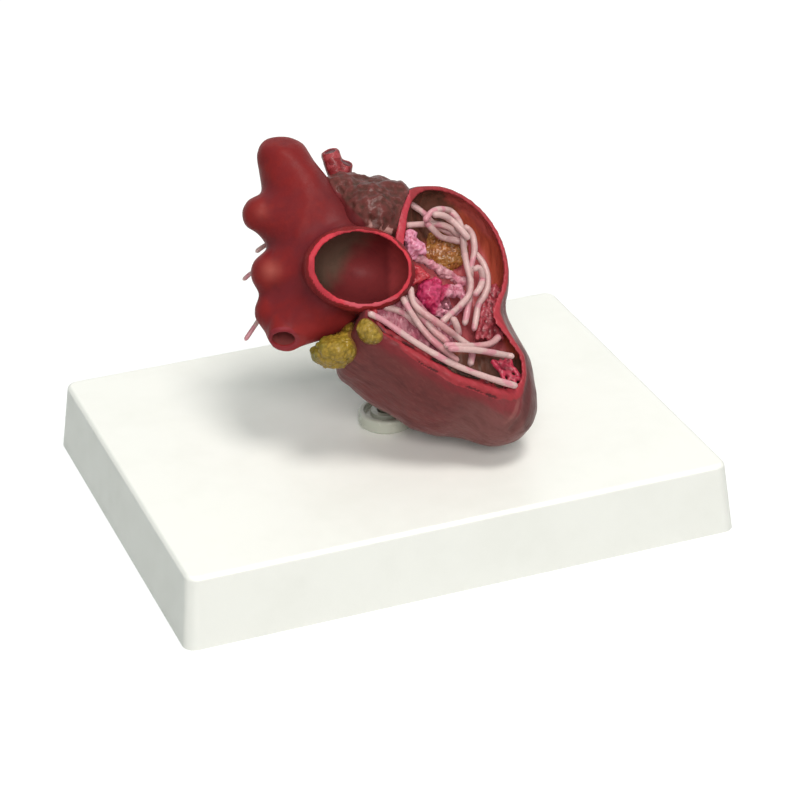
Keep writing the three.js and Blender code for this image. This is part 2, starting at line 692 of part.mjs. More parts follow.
function leafletSpots() {
  const edge = (corners) => through(corners.map(([x, z]) => new THREE.Vector3(x, 0, z)));
  const upper = edge(sheetTop).getSpacedPoints(LEAFLET_SPOTS);
  const lower = edge([sheetTop.at(0), ...sheetFoot, sheetTop.at(-1)]).getSpacedPoints(LEAFLET_SPOTS);
  const spots = [];
  for (let i = 0; i <= LEAFLET_SPOTS; i += 1) {
    for (let j = 0; j <= LEAFLET_LINES; j += 1) {
      const { x, z } = upper[i].clone().lerp(lower[i], j / LEAFLET_LINES);
      spots.push({ spot: sunk([x, z, LEAFLET_DEPTH - LEAFLET_THICK / 2]), radius: LEAFLET_THICK / 2 });
    }
  }
  return spots;
}
add(heart, "valve_leaflet", valveLeaflet(), LEAFLET_PINK);
laid.push(...leafletSpots());

// Nets of muscle cords on the ventricle's wall: rails that run down it, and from each place along a rail a
// rung to the next place down on the rail beside it.
function net(marks) {
  const rails = marks.map((places) => places.map(sunk));
  const rungs = rails.slice(1).flatMap((rail, i) => rail.slice(1).map((spot, k) => [rails[i][k], spot]));
  const cords = [...rails, ...rungs];
  for (const cord of cords) {
    laid.push(...spaced(through(cord)).map((spot) => ({ spot, radius: NET_RADIUS })));
  }
  const strands = cords.map((cord) => strand(cord, NET_RADIUS, { sides: 4, stride: 3.5 }));
  return largest(cut(join(...strands), wallRoom));
}
const sideRails = [
  [[28, 0, 8.5], [28.2, -5, 8.5], [27.4, -10, 8.5], [26, -15, 8]],
  [[31.6, 1, 8], [31.4, -5, 8], [30.8, -10, 8], [29.6, -15, 8]],
  [[36, 0, 7], [34.4, -5, 7.4], [33.8, -10, 7.4], [33, -15, 7]],
];
const apexRails = [
  [[30, -21, 6], [32.4, -24, 5], [34, -29, 5]],
  [[35, -19.5, 6], [36, -23, 5], [39.5, -27, 4.5]],
];
add(heart, "muscle_net_side", net(sideRails), NET_RED);
add(heart, "muscle_net_apex", net(apexRails), NET_RED);

// The worms' routes, in the order in which they are laid.
const worms = [
  [[6.5, 25.5, 8], [8.7, 23.9, 6.5], [11.8, 21.6, 6.5], [14, 19, 7], [17, 17, 7.5], [21, 15, 8], [24, 12, 9]],
  [[3.5, 17.5, 5.5], [7.2, 18, 5.5], [11.2, 18.3, 5.5], [15.2, 18.4, 5.5], [19.2, 17.2, 6], [22, 14.5, 6.5]],
  [[12, 19, 7], [14, 17, 7], [16.3, 14.8, 7], [19.7, 13.8, 7], [23, 13, 8]],
  [[26, 10.5, 6.5], [28.2, 7.6, 6], [29.5, 4, 5.5], [29.6, 0.3, 5.5], [28.4, -2.6, 6], [26.8, -5, 6],
    [26, -9, 6], [25.2, -12.6, 6]],
  [[23, 18, 6], [25, 16.5, 5.5], [26, 13, 5.5], [25.9, 9.5, 5.5], [24.9, 6, 6], [24.5, 2, 6], [24.3, -3, 6],
    [23.5, -7, 6], [22.6, -11, 6]],
  [[11.8, 18.6, 5], [13.5, 21.1, 4], [16.1, 22.3, 3.6], [19.3, 22, 3.6], [21.5, 19.5, 3.6], [22.6, 15.4, 3.6],
    [23, 10.7, 3.6], [23.7, 6, 3.6], [24.7, 1.4, 3.6], [24.2, -2, 3.6], [22, -4.8, 3.6], [19, -7.5, 4],
    [15.8, -10.4, 4.4]],
  [[14, 20.5, 5], [17, 20.4, 4.5], [20, 18.6, 4], [22.4, 16, 4], [24.5, 13.4, 4.5]],
  [[25.2, 4.6, 5], [27.1, 5.4, 4.4], [28, 3.2, 4.4], [27.3, -0.2, 4.4], [25.4, -2.6, 4.6]],
  [[19, -8.6, 5.5], [20.4, -11.4, 5.5], [21, -14, 5.8]],
  [[-2, -5.4, 2.6], [4.5, -7, 3], [10.3, -11.7, 4], [14.4, -15, 4.6], [18.3, -18, 5]],
  [[5, -1.4, 4.5], [7.9, -5.2, 4.2], [11.2, -9.4, 4.4], [15, -13.6, 4.6], [18, -16, 5]],
  [[6.8, 2, 4], [7.4, -0.4, 3.4], [8.4, -4.9, 2.8], [10.6, -7.2, 2.6], [14.5, -10, 2.6], [18.4, -12.9, 2.6],
    [21.3, -15.1, 2.6], [24.4, -18, 2.6], [23.8, -22.6, 3.2]],
  [[3.6, 0, 3], [8.4, -8.8, 1.5], [12.7, -14.5, 1.5], [16.6, -18, 1.8], [20.6, -21.2, 2]],
  [[16.4, -16.6, 2.6], [23.9, -16.9, 2], [29.6, -16.3, 1.6], [32.6, -14, 1.6]],
  [[17.6, -17.6, 2], [25, -18.1, 1], [31.8, -19.2, 0.4], [36.4, -20, -1.4]],
  [[-4.4, -7.4, -1.2], [-0.5, -9.4, -1.2], [9.3, -16.2, -1.2], [19.2, -22, -1.2], [29.3, -26, -1.4],
    [37, -28.4, -1.6]],
];
worms.forEach((route, i) => {
  const body = strand(lay(route.map(sunk), WORM_RADIUS), WORM_RADIUS);
  const name = `worm_${String(i + 1).padStart(2, "0")}`;
  add(heart, name, largest(cut(body, wallRoom, atriumCasting.room)), PALE_WORM);
});

// Stray worms hang out behind the heart, on its left, through ruts in the artery's mouth.
const strays = [
  [[-27, 11, 13], [-31, 10.5, 14.8], [-34, 9, 13.6], [-36.8, 8, 11.6]],
  [[-24, 7.6, 2], [-29, 8.6, 3.4], [-33.5, 9, 5.6], [-37, 8.4, 6.2], [-40.6, 7.6, 3.6]],
  [[-24, 6.4, -1], [-29, 8, -0.4], [-33.6, 8, -4], [-36.6, 6.6, -8.6], [-40.2, 6, -13.8]],
];
const ruts = [];
strays.forEach((route, i) => {
  const spots = lay(route.map((mark) => place(...mark)), WORM_RADIUS);
  add(heart, `stray_worm_${i + 1}`, largest(cut(strand(spots, WORM_RADIUS), atriumCasting.room)), PALE_WORM);
  ruts.push(strand(spots, WORM_RADIUS, { grown: SEAM }));
});
add(heart, "pulmonary_artery", arteryPiece(ruts), ARTERY_RED);

export default model;
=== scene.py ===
# %% [markdown]
# # A painted teaching model of a dog's heart
#
# The real object is a life-size resin cast of a dog's heart on a white moulded stand. Its right atrium and right
# ventricle are cut open, and heartworms lie among the valve's flaps and the muscles inside. The script is a lesson:
# each piece is first described, then made. Lengths on the heart are given in millimetres in the heart's own frame
# (X to the right, Y away from the viewer, Z up its face), and a finished piece is moved once into the model's
# frame, which is in metres.

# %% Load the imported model
import math

import bmesh
import bpy
import numpy as np
from mathutils import Matrix, Vector, noise


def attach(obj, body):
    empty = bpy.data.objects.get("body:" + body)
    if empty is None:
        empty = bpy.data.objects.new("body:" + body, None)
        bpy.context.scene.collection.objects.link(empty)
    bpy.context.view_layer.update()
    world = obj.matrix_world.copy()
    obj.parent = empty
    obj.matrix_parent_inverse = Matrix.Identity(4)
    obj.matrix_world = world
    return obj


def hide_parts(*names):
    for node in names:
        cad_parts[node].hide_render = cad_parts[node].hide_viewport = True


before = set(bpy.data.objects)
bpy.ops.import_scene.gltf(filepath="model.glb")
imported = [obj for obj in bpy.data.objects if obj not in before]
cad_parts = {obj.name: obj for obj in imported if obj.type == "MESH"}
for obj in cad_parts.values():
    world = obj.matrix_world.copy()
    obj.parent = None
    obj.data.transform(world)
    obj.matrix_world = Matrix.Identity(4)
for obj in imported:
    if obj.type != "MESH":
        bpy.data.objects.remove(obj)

bpy.context.scene.view_settings.view_transform = "Standard"
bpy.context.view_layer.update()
print("nodes in the packed model:", len(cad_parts))

# %% [markdown]
# ## The camera
#
# The camera comes first: it gives the photograph's view. A camera can be set by hand, or solved from the picture.
# This one was solved from the straight edges of the base: it looks down at 28 degrees from the front left with a
# long lens, and it is rolled by one degree.

# %% Set the camera
CAMERA_SPOT = Vector((-0.249235, -0.659979, 0.405902))
CAMERA_TARGET = Vector((0.02264, 0.04754, 0))
CAMERA_ROLL = math.radians(-0.97)
CAMERA_LENS = 123.65
CAMERA_SENSOR = 36


def linked(name, data):
    """A new object in the scene, with its data."""
    thing = bpy.data.objects.new(name, data)
    bpy.context.scene.collection.objects.link(thing)
    return thing


camera = linked("camera", bpy.data.cameras.new("camera"))
camera.data.lens = CAMERA_LENS
camera.data.sensor_width = CAMERA_SENSOR
camera.location = CAMERA_SPOT
level = (CAMERA_TARGET - CAMERA_SPOT).to_track_quat("-Z", "Y")
camera.rotation_euler = (level.to_matrix() @ Matrix.Rotation(CAMERA_ROLL, 3, "Z")).to_euler()
bpy.context.scene.camera = camera
print("camera at", [round(value, 3) for value in CAMERA_SPOT])

# %% [markdown]
# ## The light, the floor and the background
#
# The photograph was taken in a light tent: the background is pure white, the base's left side is grey, and a soft
# grey-green shadow lies under the heart. Large area lamps give soft shadows. The key lamp stands high on the right,
# so the left side of the base turns away from it. The floor is a plain pale sheet, and for camera rays it is lifted
# a little so that it meets the white background without an edge.

# %% Light the stage
def lamp(name, spot, aim, size, power, colour=(1, 1, 1)):
    light = bpy.data.lights.new(name, "AREA")
    light.shape = "DISK"
    light.size = size
    light.energy = power
    light.color = colour
    holder = linked(name, light)
    holder.location = spot
    holder.rotation_euler = (Vector(aim) - Vector(spot)).to_track_quat("-Z", "Y").to_euler()


lamp("key_lamp", (0.4, -0.6, 2.5), (0, 0, 0.03), 0.9, 33.0, (1, 0.965, 0.92))
lamp("front_lamp", (-0.6, -2.1, 1.6), (0, 0, 0.05), 1.4, 42.0, (1, 0.975, 0.95))
lamp("back_lamp", (-0.2, 1.6, 2.0), (0, 0, 0.05), 2.2, 4.0)


# %% Helpers that lay out a material's nodes
WHITE = (1, 1, 1, 1)


def put(tree, kind, inputs=None, **settings):
    """One shader node, with its settings, and its inputs as constants or as links from other nodes."""
    node = tree.nodes.new("ShaderNode" + kind)
    for key, value in settings.items():
        setattr(node, key, value)
    for key, value in (inputs or {}).items():
        if isinstance(value, bpy.types.NodeSocket):
            tree.links.new(value, node.inputs[key])
        else:
            node.inputs[key].default_value = value
    return node


def calc(tree, operation, *values):
    """One step of arithmetic."""
    return put(tree, "Math", dict(enumerate(values)), operation=operation).outputs[0]


def ranged(tree, value, low, high):
    """A value from 0 to 1, stretched to run from low to high."""
    return put(tree, "MapRange", {"Value": value, "To Min": low, "To Max": high}).outputs[0]


def blended(tree, share, first, second):
    """The colour that mixes the first with the second, by a share from 0 to 1."""
    return put(tree, "Mix", {0: share, 6: first, 7: second}, data_type="RGBA").outputs[2]


def paint(red, green, blue):
    """A colour as it looks on the model, from 0 to 255, turned into the linear light that the nodes use."""
    def linear(value):
        value /= 255
        return value / 12.92 if value <= 0.04045 else ((value + 0.055) / 1.055) ** 2.4
    return (linear(red), linear(green), linear(blue), 1)


def new_material(name):
    material = bpy.data.materials.new(name)
    material.use_nodes = True
    material.node_tree.nodes.clear()
    return material


def straight(tree):
    """1 for rays that the camera sees, straight, in a mirror or through something clear."""
    seen = put(tree, "LightPath").outputs
    share = calc(tree, "MAXIMUM", seen["Is Camera Ray"], seen["Is Glossy Ray"])
    return calc(tree, "MAXIMUM", share, seen["Is Transmission Ray"])


# %% Lay the floor and raise the tent
FLOOR_HALF = 6
FLOOR_GREY = (0.36, 0.37, 0.36, 1)
FLOOR_LIFT = 0.75
TENT_LIGHT = 0.25
TENT_TINT = (0.82, 1, 0.93, 1)


def new_piece(name, shape):
    """A new object whose mesh is the shape."""
    mesh = bpy.data.meshes.new(name)
    shape.to_mesh(mesh)
    shape.free()
    return linked(name, mesh)


floor_material = new_material("pale_floor")
tree = floor_material.node_tree
sheet = put(tree, "BsdfDiffuse", {"Color": FLOOR_GREY})
glow = put(tree, "Emission", {"Color": WHITE, "Strength": calc(tree, "MULTIPLY", straight(tree), FLOOR_LIFT)})
both = put(tree, "AddShader", {0: sheet.outputs[0], 1: glow.outputs[0]})
put(tree, "OutputMaterial", {"Surface": both.outputs[0]})

floor_shape = bmesh.new()
bmesh.ops.create_grid(floor_shape, x_segments=1, y_segments=1, size=FLOOR_HALF)
floor = new_piece("floor", floor_shape)
floor.data.materials.append(floor_material)

world = bpy.data.worlds.new("tent")
bpy.context.scene.world = world
world.use_nodes = True
tree = world.node_tree
tree.nodes.clear()
seen = straight(tree)
tent = put(tree, "Background", {"Color": blended(tree, seen, TENT_TINT, WHITE),
                                "Strength": ranged(tree, seen, TENT_LIGHT, 1.0)})
put(tree, "OutputWorld", {"Surface": tent.outputs[0]})

# %% [markdown]
# ## Effects that many paints share
#
# The whole heart is painted by hand, so one effect comes back on every piece: a base colour with cloudy patches of
# a darker wash and of a lighter, thinner coat. It is a node group with its own inputs, so that each paint gives its
# own colours and patch size. A second group breaks the edge of a mask, as a brush does. A third gives the fine
# skin of cast resin: a faint grain and soft dents.

# %% Build the shared node groups
def new_group(name, inputs, outputs):
    group = bpy.data.node_groups.new(name, "ShaderNodeTree")
    for label, kind, value in inputs:
        socket = group.interface.new_socket(label, in_out="INPUT", socket_type="NodeSocket" + kind)
        if value is not None:
            socket.default_value = value
    for label, kind in outputs:
        group.interface.new_socket(label, in_out="OUTPUT", socket_type="NodeSocket" + kind)
    return group, group.nodes.new("NodeGroupInput").outputs


def give(group, **values):
    """Links what the group works out to its outputs."""
    out = group.nodes.new("NodeGroupOutput")
    for label, value in values.items():
        group.links.new(value, out.inputs[label])


def speckles(group, given, size, detail, roughness=0.5, finer=1.0):
    """Noise whose lumps have the size in millimetres that an input of the group gives."""
    scale = calc(group, "MULTIPLY", calc(group, "DIVIDE", 1000.0, given[size]), finer)
    return put(group, "TexNoise", {"Vector": given["Place"], "Scale": scale, "Detail": detail,
                                   "Roughness": roughness}).outputs[0]


hand_paint, given = new_group(
    "hand_paint",
    [("Place", "Vector", None), ("Base", "Color", WHITE), ("Wash", "Color", WHITE), ("Light", "Color", WHITE),
     ("Patch mm", "Float", 6.0), ("Amount", "Float", 0.6)],
    [("Color", "Color"), ("Mask", "Float")],
)
broad = speckles(hand_paint, given, "Patch mm", 4.0, 0.6)
small = speckles(hand_paint, given, "Patch mm", 5.0, 0.65, finer=3.1)
dark = put(hand_paint, "MapRange", {"Value": broad, "From Min": 0.46, "From Max": 0.66}).outputs[0]
pale = put(hand_paint, "MapRange", {"Value": small, "From Min": 0.5, "From Max": 0.72}).outputs[0]
colour = blended(hand_paint, calc(hand_paint, "MULTIPLY", dark, given["Amount"]), given["Base"], given["Wash"])
colour = blended(hand_paint, calc(hand_paint, "MULTIPLY", pale, given["Amount"]), colour, given["Light"])
give(hand_paint, Color=colour, Mask=dark)

broken_edge, given = new_group(
    "broken_edge",
    [("Mask", "Float", 0.0), ("Place", "Vector", None), ("Grain mm", "Float", 1.0), ("Ragged", "Float", 0.5),
     ("Softness", "Float", 0.1)],
    [("Mask", "Float")],
)
crumbs = calc(broken_edge, "SUBTRACT", speckles(broken_edge, given, "Grain mm", 4.0), 0.5)
moved = calc(broken_edge, "MULTIPLY_ADD", crumbs, given["Ragged"], given["Mask"])
low = calc(broken_edge, "SUBTRACT", 0.5, given["Softness"])
high = calc(broken_edge, "ADD", 0.5, given["Softness"])
edge = put(broken_edge, "MapRange", {"Value": moved, "From Min": low, "From Max": high},
           interpolation_type="SMOOTHSTEP")
give(broken_edge, Mask=edge.outputs[0])

cast_skin, given = new_group(
    "cast_skin",
    [("Place", "Vector", None), ("Grain mm", "Float", 0.5), ("Dent mm", "Float", 4.0), ("Dents", "Float", 0.5)],
    [("Height", "Float")],
)
grain = speckles(cast_skin, given, "Grain mm", 3.0)
dents = speckles(cast_skin, given, "Dent mm", 3.0)
height = put(cast_skin, "Mix", {0: given["Dents"], 2: grain, 3: dents}, data_type="FLOAT")
give(cast_skin, Height=height.outputs[0])
print("node groups:", sorted(group.name for group in bpy.data.node_groups))


# %% [markdown]
# ## A painted finish
#
# Every painted piece has the same layers: a hand-painted ground, then painted shade where the piece is hollow, and
# colours, painted light and painted shade near a rim or inside a room, then a satin varnish. The masks are
# attributes that are worked out once from the piece's own form, so they stay on the surface whatever moves. One
# function lays the layers out in order.

# %% A function for painted finishes
GLOSS_SPREAD = 0.1
LAYER_AMOUNT = 0.8


def brushed(tree, spot, base, wash, light, patch, amount):
    """The hand-painted colour at a place, and the mask of its darker patches."""
    return put(tree, "Group", {
        "Place": spot, "Base": paint(*base), "Wash": paint(*wash), "Light": paint(*light), "Patch mm": patch,
        "Amount": amount}, node_tree=hand_paint).outputs


def resin_skin(tree, spot, grain, dent, dents):
    """The height of the faint grain and the soft dents of cast resin."""
    return put(tree, "Group", {"Place": spot, "Grain mm": grain, "Dent mm": dent, "Dents": dents},
               node_tree=cast_skin).outputs["Height"]


def varnish(tree, height, relief, look, strength=1.0):
    """The last nodes of every finish: its relief, in millimetres, and its surface."""
    bumped = put(tree, "Bump", {"Strength": strength, "Distance": relief / 1000, "Height": height})
    surface = put(tree, "BsdfPrincipled", {**look, "Normal": bumped.outputs[0]})
    put(tree, "OutputMaterial", {"Surface": surface.outputs[0]})


def attribute(tree, name, output="Fac"):
    return put(tree, "Attribute", attribute_name=name).outputs[output]


def painted(name, base, wash, light, patch=6.0, amount=0.6, layers=(), place=None, rough=0.42, coat=0.25,
            grain=0.5, dent=4.0, dents=0.5, relief=0.15, shine=0.15):
    """A painted finish. Each layer is (attribute, colour, second colour, ragged, softness, strength)."""
    material = new_material(name)
    tree = material.node_tree
    spot = put(tree, "TexCoord").outputs["Object"] if place is None else attribute(tree, place, "Vector")
    colour, cloudy = brushed(tree, spot, base, wash, light, patch, amount)
    for mask, first, second, ragged, soft, strength in layers:
        share = put(tree, "Group", {"Mask": attribute(tree, mask), "Place": spot, "Grain mm": patch / 3,
                                    "Ragged": ragged, "Softness": soft}, node_tree=broken_edge).outputs["Mask"]
        over = brushed(tree, spot, first, second, first, patch / 2, LAYER_AMOUNT)["Color"]
        colour = blended(tree, calc(tree, "MULTIPLY", share, strength), colour, over)
    varnish(tree, resin_skin(tree, spot, grain, dent, dents), relief, {
        "Base Color": colour, "Roughness": ranged(tree, cloudy, rough - GLOSS_SPREAD, rough + GLOSS_SPREAD),
        "Specular IOR Level": shine, "Coat Weight": coat, "Coat Roughness": 0.2})
    return material


# %% [markdown]
# ## The heart's soft forms
#
# A heart has no straight line in it. It could be sculpted by hand, but then its masks and seams would have to be
# painted by hand as well. Here each casting is a soft form: a rule that tells how far a point lies outside it. A
# limb swells between two points, an egg has three half sizes, and forms flow into one another where they meet. The
# same rules later tell where a rim, a room or a seam is.

# %% Rules for soft forms
HEART_RISE, HEART_TURN, HEART_LEAN = 0.064, -21, -28.2
MILLIMETRES = Matrix.Scale(0.001, 4)
HEART = (Matrix.Translation((0, 0, HEART_RISE)) @ Matrix.Rotation(math.radians(HEART_TURN), 4, "Z")
         @ Matrix.Rotation(math.radians(HEART_LEAN), 4, "X") @ MILLIMETRES)


def unit(direction):
    return np.array(direction) / np.linalg.norm(direction)


def limb(start, end, start_radius, end_radius, deep=1):
    """A round limb between two points, deeper or flatter from front to back."""
    squash = np.array([1, deep, 1])
    foot = np.array(start) / squash
    along = np.array(end) / squash - foot

    def form(spots):
        reach = spots / squash - foot
        share = np.clip(reach @ along / (along @ along), 0, 1)
        radius = start_radius + (end_radius - start_radius) * share
        return np.linalg.norm(reach - share[:, None] * along, axis=1) - radius
    return form


def egg(middle, halves, tilt=0):
    """An egg with three half sizes, tilted by degrees in the heart's face."""
    turn = np.array(Matrix.Rotation(math.radians(tilt), 3, "Y"))

    def form(spots):
        scaled = (spots - np.array(middle)) @ turn.T / np.array(halves)
        reach = np.linalg.norm(scaled, axis=1) + 1e-9
        return reach * (reach - 1) / np.linalg.norm(scaled / np.array(halves), axis=1)
    return form


def beyond(spot, facing):
    """A form whose skin is a plane through the spot."""
    return lambda spots: (spots - np.array(spot)) @ unit(facing)


def softer(first, second, soft):
    """Two distances as one, rounded where they are nearly equal."""
    near = np.maximum(soft - np.abs(first - second), 0) / soft
    return np.minimum(first, second) - near * near * soft / 4


def blend(soft, *forms):
    """Forms that flow into one another."""
    def form(spots):
        whole = forms[0](spots)
        for other in forms[1:]:
            whole = softer(whole, other(spots), soft)
        return whole
    return form


def within(soft, form, limit):
    """What two forms share, with a rounded edge."""
    return lambda spots: -softer(-form(spots), -limit(spots), soft)


# %% The forms of the castings
VENTRICLE_WALL = 2.5
THIN_WALL = 1.3
CORNER_THINNING = 0.4
VENTRICLE_WINDOW = 15.5
CHAMBER_DEPTH = 12
ATRIUM_WALL = 1.4
ROOM_SHIFT = np.array([0.8, 0, 0.3])
ATRIUM_WINDOW = 22
window_facing = unit([0.429, -1, 0.409])


def behind_window(spots):
    """How far places lie behind the plane of the ventricle's window."""
    return VENTRICLE_WINDOW - spots @ window_facing


ventricle_form = within(
    4,
    blend(
        4,
        limb([4.2, 2, -8], [18.3, 2, -21], 24.6, 20.6, 1.12),
        limb([18.3, 2, -21], [28.4, -2, -26.6], 20.6, 13, 1.12),
        limb([28.4, -2, -26.6], [32, -3.4, -33.6], 13, 11, 1.12),
        limb([1, 0, -24.6], [15, 0, -30.2], 9.2, 9.6, 1.12),
        limb([15, 0, -30.2], [29, -1, -34.6], 9.6, 9.6, 1.12),
        egg([13, 2, 3.4], [22.8, 20, 26.1]),
    ),
    blend(2, beyond([4.2, 0, 20], [-1, 0, 0.08]), beyond([3.6, 0, 12], [-1, 0, 0.533])),
)
septum_form = blend(4, lambda p: CHAMBER_DEPTH - behind_window(p), egg([8, 16, -20], [22, 20, 19]))


def smoothstep(values, low, high):
    """0 at low, 1 at high and a smooth rise between. With the larger number first it falls instead."""
    share = np.clip((values - low) / (high - low), 0, 1)
    return share * share * (3 - 2 * share)


def wall_at(spots):
    """The ventricle's wall is thick on the left and below, and thin on the upper right and in the corner there."""
    x, _, z = spots.T
    thin = smoothstep(x + z * 0.35, 15, 24)
    at_corner = smoothstep(-np.hypot(x - 37, z + 18), -9, -2)
    return VENTRICLE_WALL + (THIN_WALL - VENTRICLE_WALL) * thin - CORNER_THINNING * at_corner


chamber_form = blend(
    2,
    within(12, lambda p: ventricle_form(p) + wall_at(p), lambda p: -septum_form(p)),
    within(1, limb([30.5, -9, -19.5], [34.6, -12.5, -24.4], 4, 3.4), lambda p: ventricle_form(p) + 0.8),
)
atrial_room_form = egg([-6.8, -15, 4.9], [15.7, 22, 12.2], -7)
atrium_form = blend(
    4,
    atrial_room_form,
    limb([-18, 4, 8], [-6, 6, 6], 13, 12),
    within(2.5, limb([-20, 0, 14], [-28.3, 0, 38], 13, 7.3), beyond([-28, 0, 43.9], [0.15, -0.52, 1])),
    limb([-21.9, -3, 28], [-11.5, -6, 13.8], 6.5, 6.5),
    limb([-24, -4, 18], [-34.4, -5, 21.6], 9.2, 5.3),
    limb([-20, -6, 6], [-31.4, -7, 4.8], 9, 6.1),
    limb([-20, -6, -4], [-31, -6, -6], 9, 5.6),
    limb([-16, -8, -4], [-27.6, -9.5, -12], 9, 5.6),
)
auricle_form = blend(
    3,
    egg([-3, 4, 20], [11, 18, 12.5]),
    egg([-11.5, 1, 27], [7, 8, 6.8]),
    egg([4, 0, 22], [6, 8, 8.5]),
)
left_atrium_form = egg([-10, 14, 4], [17, 12, 14])


def off_castings(spots):
    """How far each place lies from the atrium and the ventricles, whichever is nearer."""
    return np.minimum(atrium_form(spots), ventricle_form(spots))


# %% Curves through places
STEP = 0.4


def through(marks, step=0.1):
    """Close places along a smooth curve that passes through the marks."""
    marks = np.array(marks, float)
    ends = np.vstack([2 * marks[0] - marks[1], marks, 2 * marks[-1] - marks[-2]])
    places = [marks[:1]]
    for a, b, c, d in zip(ends, ends[1:], ends[2:], ends[3:]):
        first, middle, last = (max(np.linalg.norm(y - x), 1e-6) ** 0.5 for x, y in ((a, b), (b, c), (c, d)))
        start = ((b - a) / first - (c - a) / (first + middle) + (c - b) / middle) * middle
        end = ((c - b) / middle - (d - b) / (middle + last) + (d - c) / last) * middle
        share = np.linspace(0, 1, max(int(np.linalg.norm(c - b) / step), 2) + 1)[1:, None]
        places.append(b + start * share + (-3 * b + 3 * c - 2 * start - end) * share ** 2
                      + (2 * b - 2 * c + start + end) * share ** 3)
    return np.vstack(places)


def spaced(places, gap):
    """Places that lie evenly along a curve."""
    walked = np.concatenate([[0], np.cumsum(np.linalg.norm(np.diff(places, axis=0), axis=1))])
    even = np.linspace(0, walked[-1], int(np.ceil(walked[-1] / gap)) + 1)
    return np.stack([np.interp(even, walked, places[:, axis]) for axis in range(3)], axis=1)


def nearness(spots, line, width):
    """1 on a line that runs along the surface, falling to 0 at its width."""
    places = spaced(through(line), STEP)
    near = np.full(len(spots), 1e9)
    for place in places:
        near = np.minimum(near, ((spots - place) ** 2).sum(axis=1))
    return np.clip(1 - near / width ** 2, 0, 1)


# %% [markdown]
# ## From a form to a mesh
#
# A ball of small triangles is put inside the form, and each corner walks in along its ray from outside until it
# meets the form. Castings are then cut by one another with Boolean modifiers, and a voxel remesh gives the result
# an even mesh whose cut edges are rounded, as paint and resin round them. Fine folds are pushed up along the
# surface with noise, which is quicker than sculpting and comes out the same each time.

# %% Helpers that make and finish a mesh
FARTHEST = 64.0
HALVINGS = 10


def skin(name, middle, form, fineness=6, grown=0.0):
    """The skin of a form as an object, grown outwards or shrunk."""
    ball = bmesh.new()
    bmesh.ops.create_icosphere(ball, subdivisions=fineness, radius=1)
    rays = np.array([corner.co for corner in ball.verts], float)
    rays /= np.linalg.norm(rays, axis=1)[:, None]
    core = np.array(middle, float)
    reach = np.full(len(rays), FARTHEST)
    out = np.arange(len(rays))
    while len(out):
        outside = form(core + rays[out] * reach[out, None]) > grown
        out = out[outside & (reach[out] > 0)]
        reach[out] -= 1
    low, high = reach.copy(), reach + 1
    for _ in range(HALVINGS):
        half = (low + high) / 2
        outside = form(core + rays * half[:, None]) > grown
        low, high = np.where(outside, low, half), np.where(outside, half, high)
    for corner, spot in zip(ball.verts, core + rays * low[:, None]):
        corner.co = spot
    return new_piece(name, ball)


def as_shown(thing):
    """A new mesh of what an object shows."""
    bpy.context.view_layer.update()
    return bpy.data.meshes.new_from_object(thing.evaluated_get(bpy.context.evaluated_depsgraph_get()))


def settle(piece):
    """Takes what the modifiers show as the piece's own mesh."""
    finished = as_shown(piece)
    unfinished = piece.data
    piece.modifiers.clear()
    piece.data = finished
    bpy.data.meshes.remove(unfinished)


def modify(piece, kind, **settings):
    """Gives the piece a modifier with its settings."""
    change = piece.modifiers.new(kind.lower(), kind)
    for key, value in settings.items():
        setattr(change, key, value)


def carve(piece, *tools, how="DIFFERENCE"):
    """Cuts a piece by tools, joins it with them, or keeps what it shares with them."""
    for tool in tools:
        modify(piece, "BOOLEAN", operation=how, solver="MANIFOLD", object=tool)
    settle(piece)


def remesh(piece, size, smooth):
    """Gives a piece an even mesh, and softens its edges."""
    modify(piece, "REMESH", mode="VOXEL", voxel_size=size)
    modify(piece, "SMOOTH", factor=0.5, iterations=smooth)
    settle(piece)


def flat_faces(piece):
    """Lets the large faces keep their own direction, so that only the rounded edges between them look round."""
    piece.data.shade_smooth()
    piece.data.set_sharp_from_angle(angle=math.radians(50))
    modify(piece, "WEIGHTED_NORMAL", mode="FACE_AREA", weight=100, keep_sharp=True)
    settle(piece)


def discard(*pieces):
    for piece in pieces:
        bpy.data.meshes.remove(piece.data)


def spots_of(piece, what="co"):
    """The places of a piece's corners, or their normals."""
    spots = np.empty(len(piece.data.vertices) * 3)
    piece.data.vertices.foreach_get(what, spots)
    return spots.reshape(-1, 3)


def push(piece, heights):
    """Moves the surface outwards along its normals."""
    moved = spots_of(piece) + spots_of(piece, "normal") * heights[:, None]
    piece.data.vertices.foreach_set("co", moved.ravel())
    piece.data.update()


def cloud(spots, size, octaves=3, seed=0.0):
    """Soft noise from -1 to 1 with lumps of about that size."""
    return np.array([noise.fractal(Vector(spot), 1.0, 2.0, octaves) for spot in spots / size + seed])


def drift(places, size, shift):
    """Soft noise in three directions, which lets a thread wander."""
    return np.stack([cloud(places, size, 2, seed + shift) for seed in (1, 4, 8)], axis=1)


def pebbles(spots, size, seed=0.0):
    """Rounded lumps side by side: 1 on top of a lump, 0 in the furrow between two."""
    found = [noise.voronoi(Vector(spot))[0] for spot in spots / size + seed]
    gap = np.array([near[1] - near[0] for near in found])
    return np.clip(gap * 2.2, 0, 1) ** 0.6
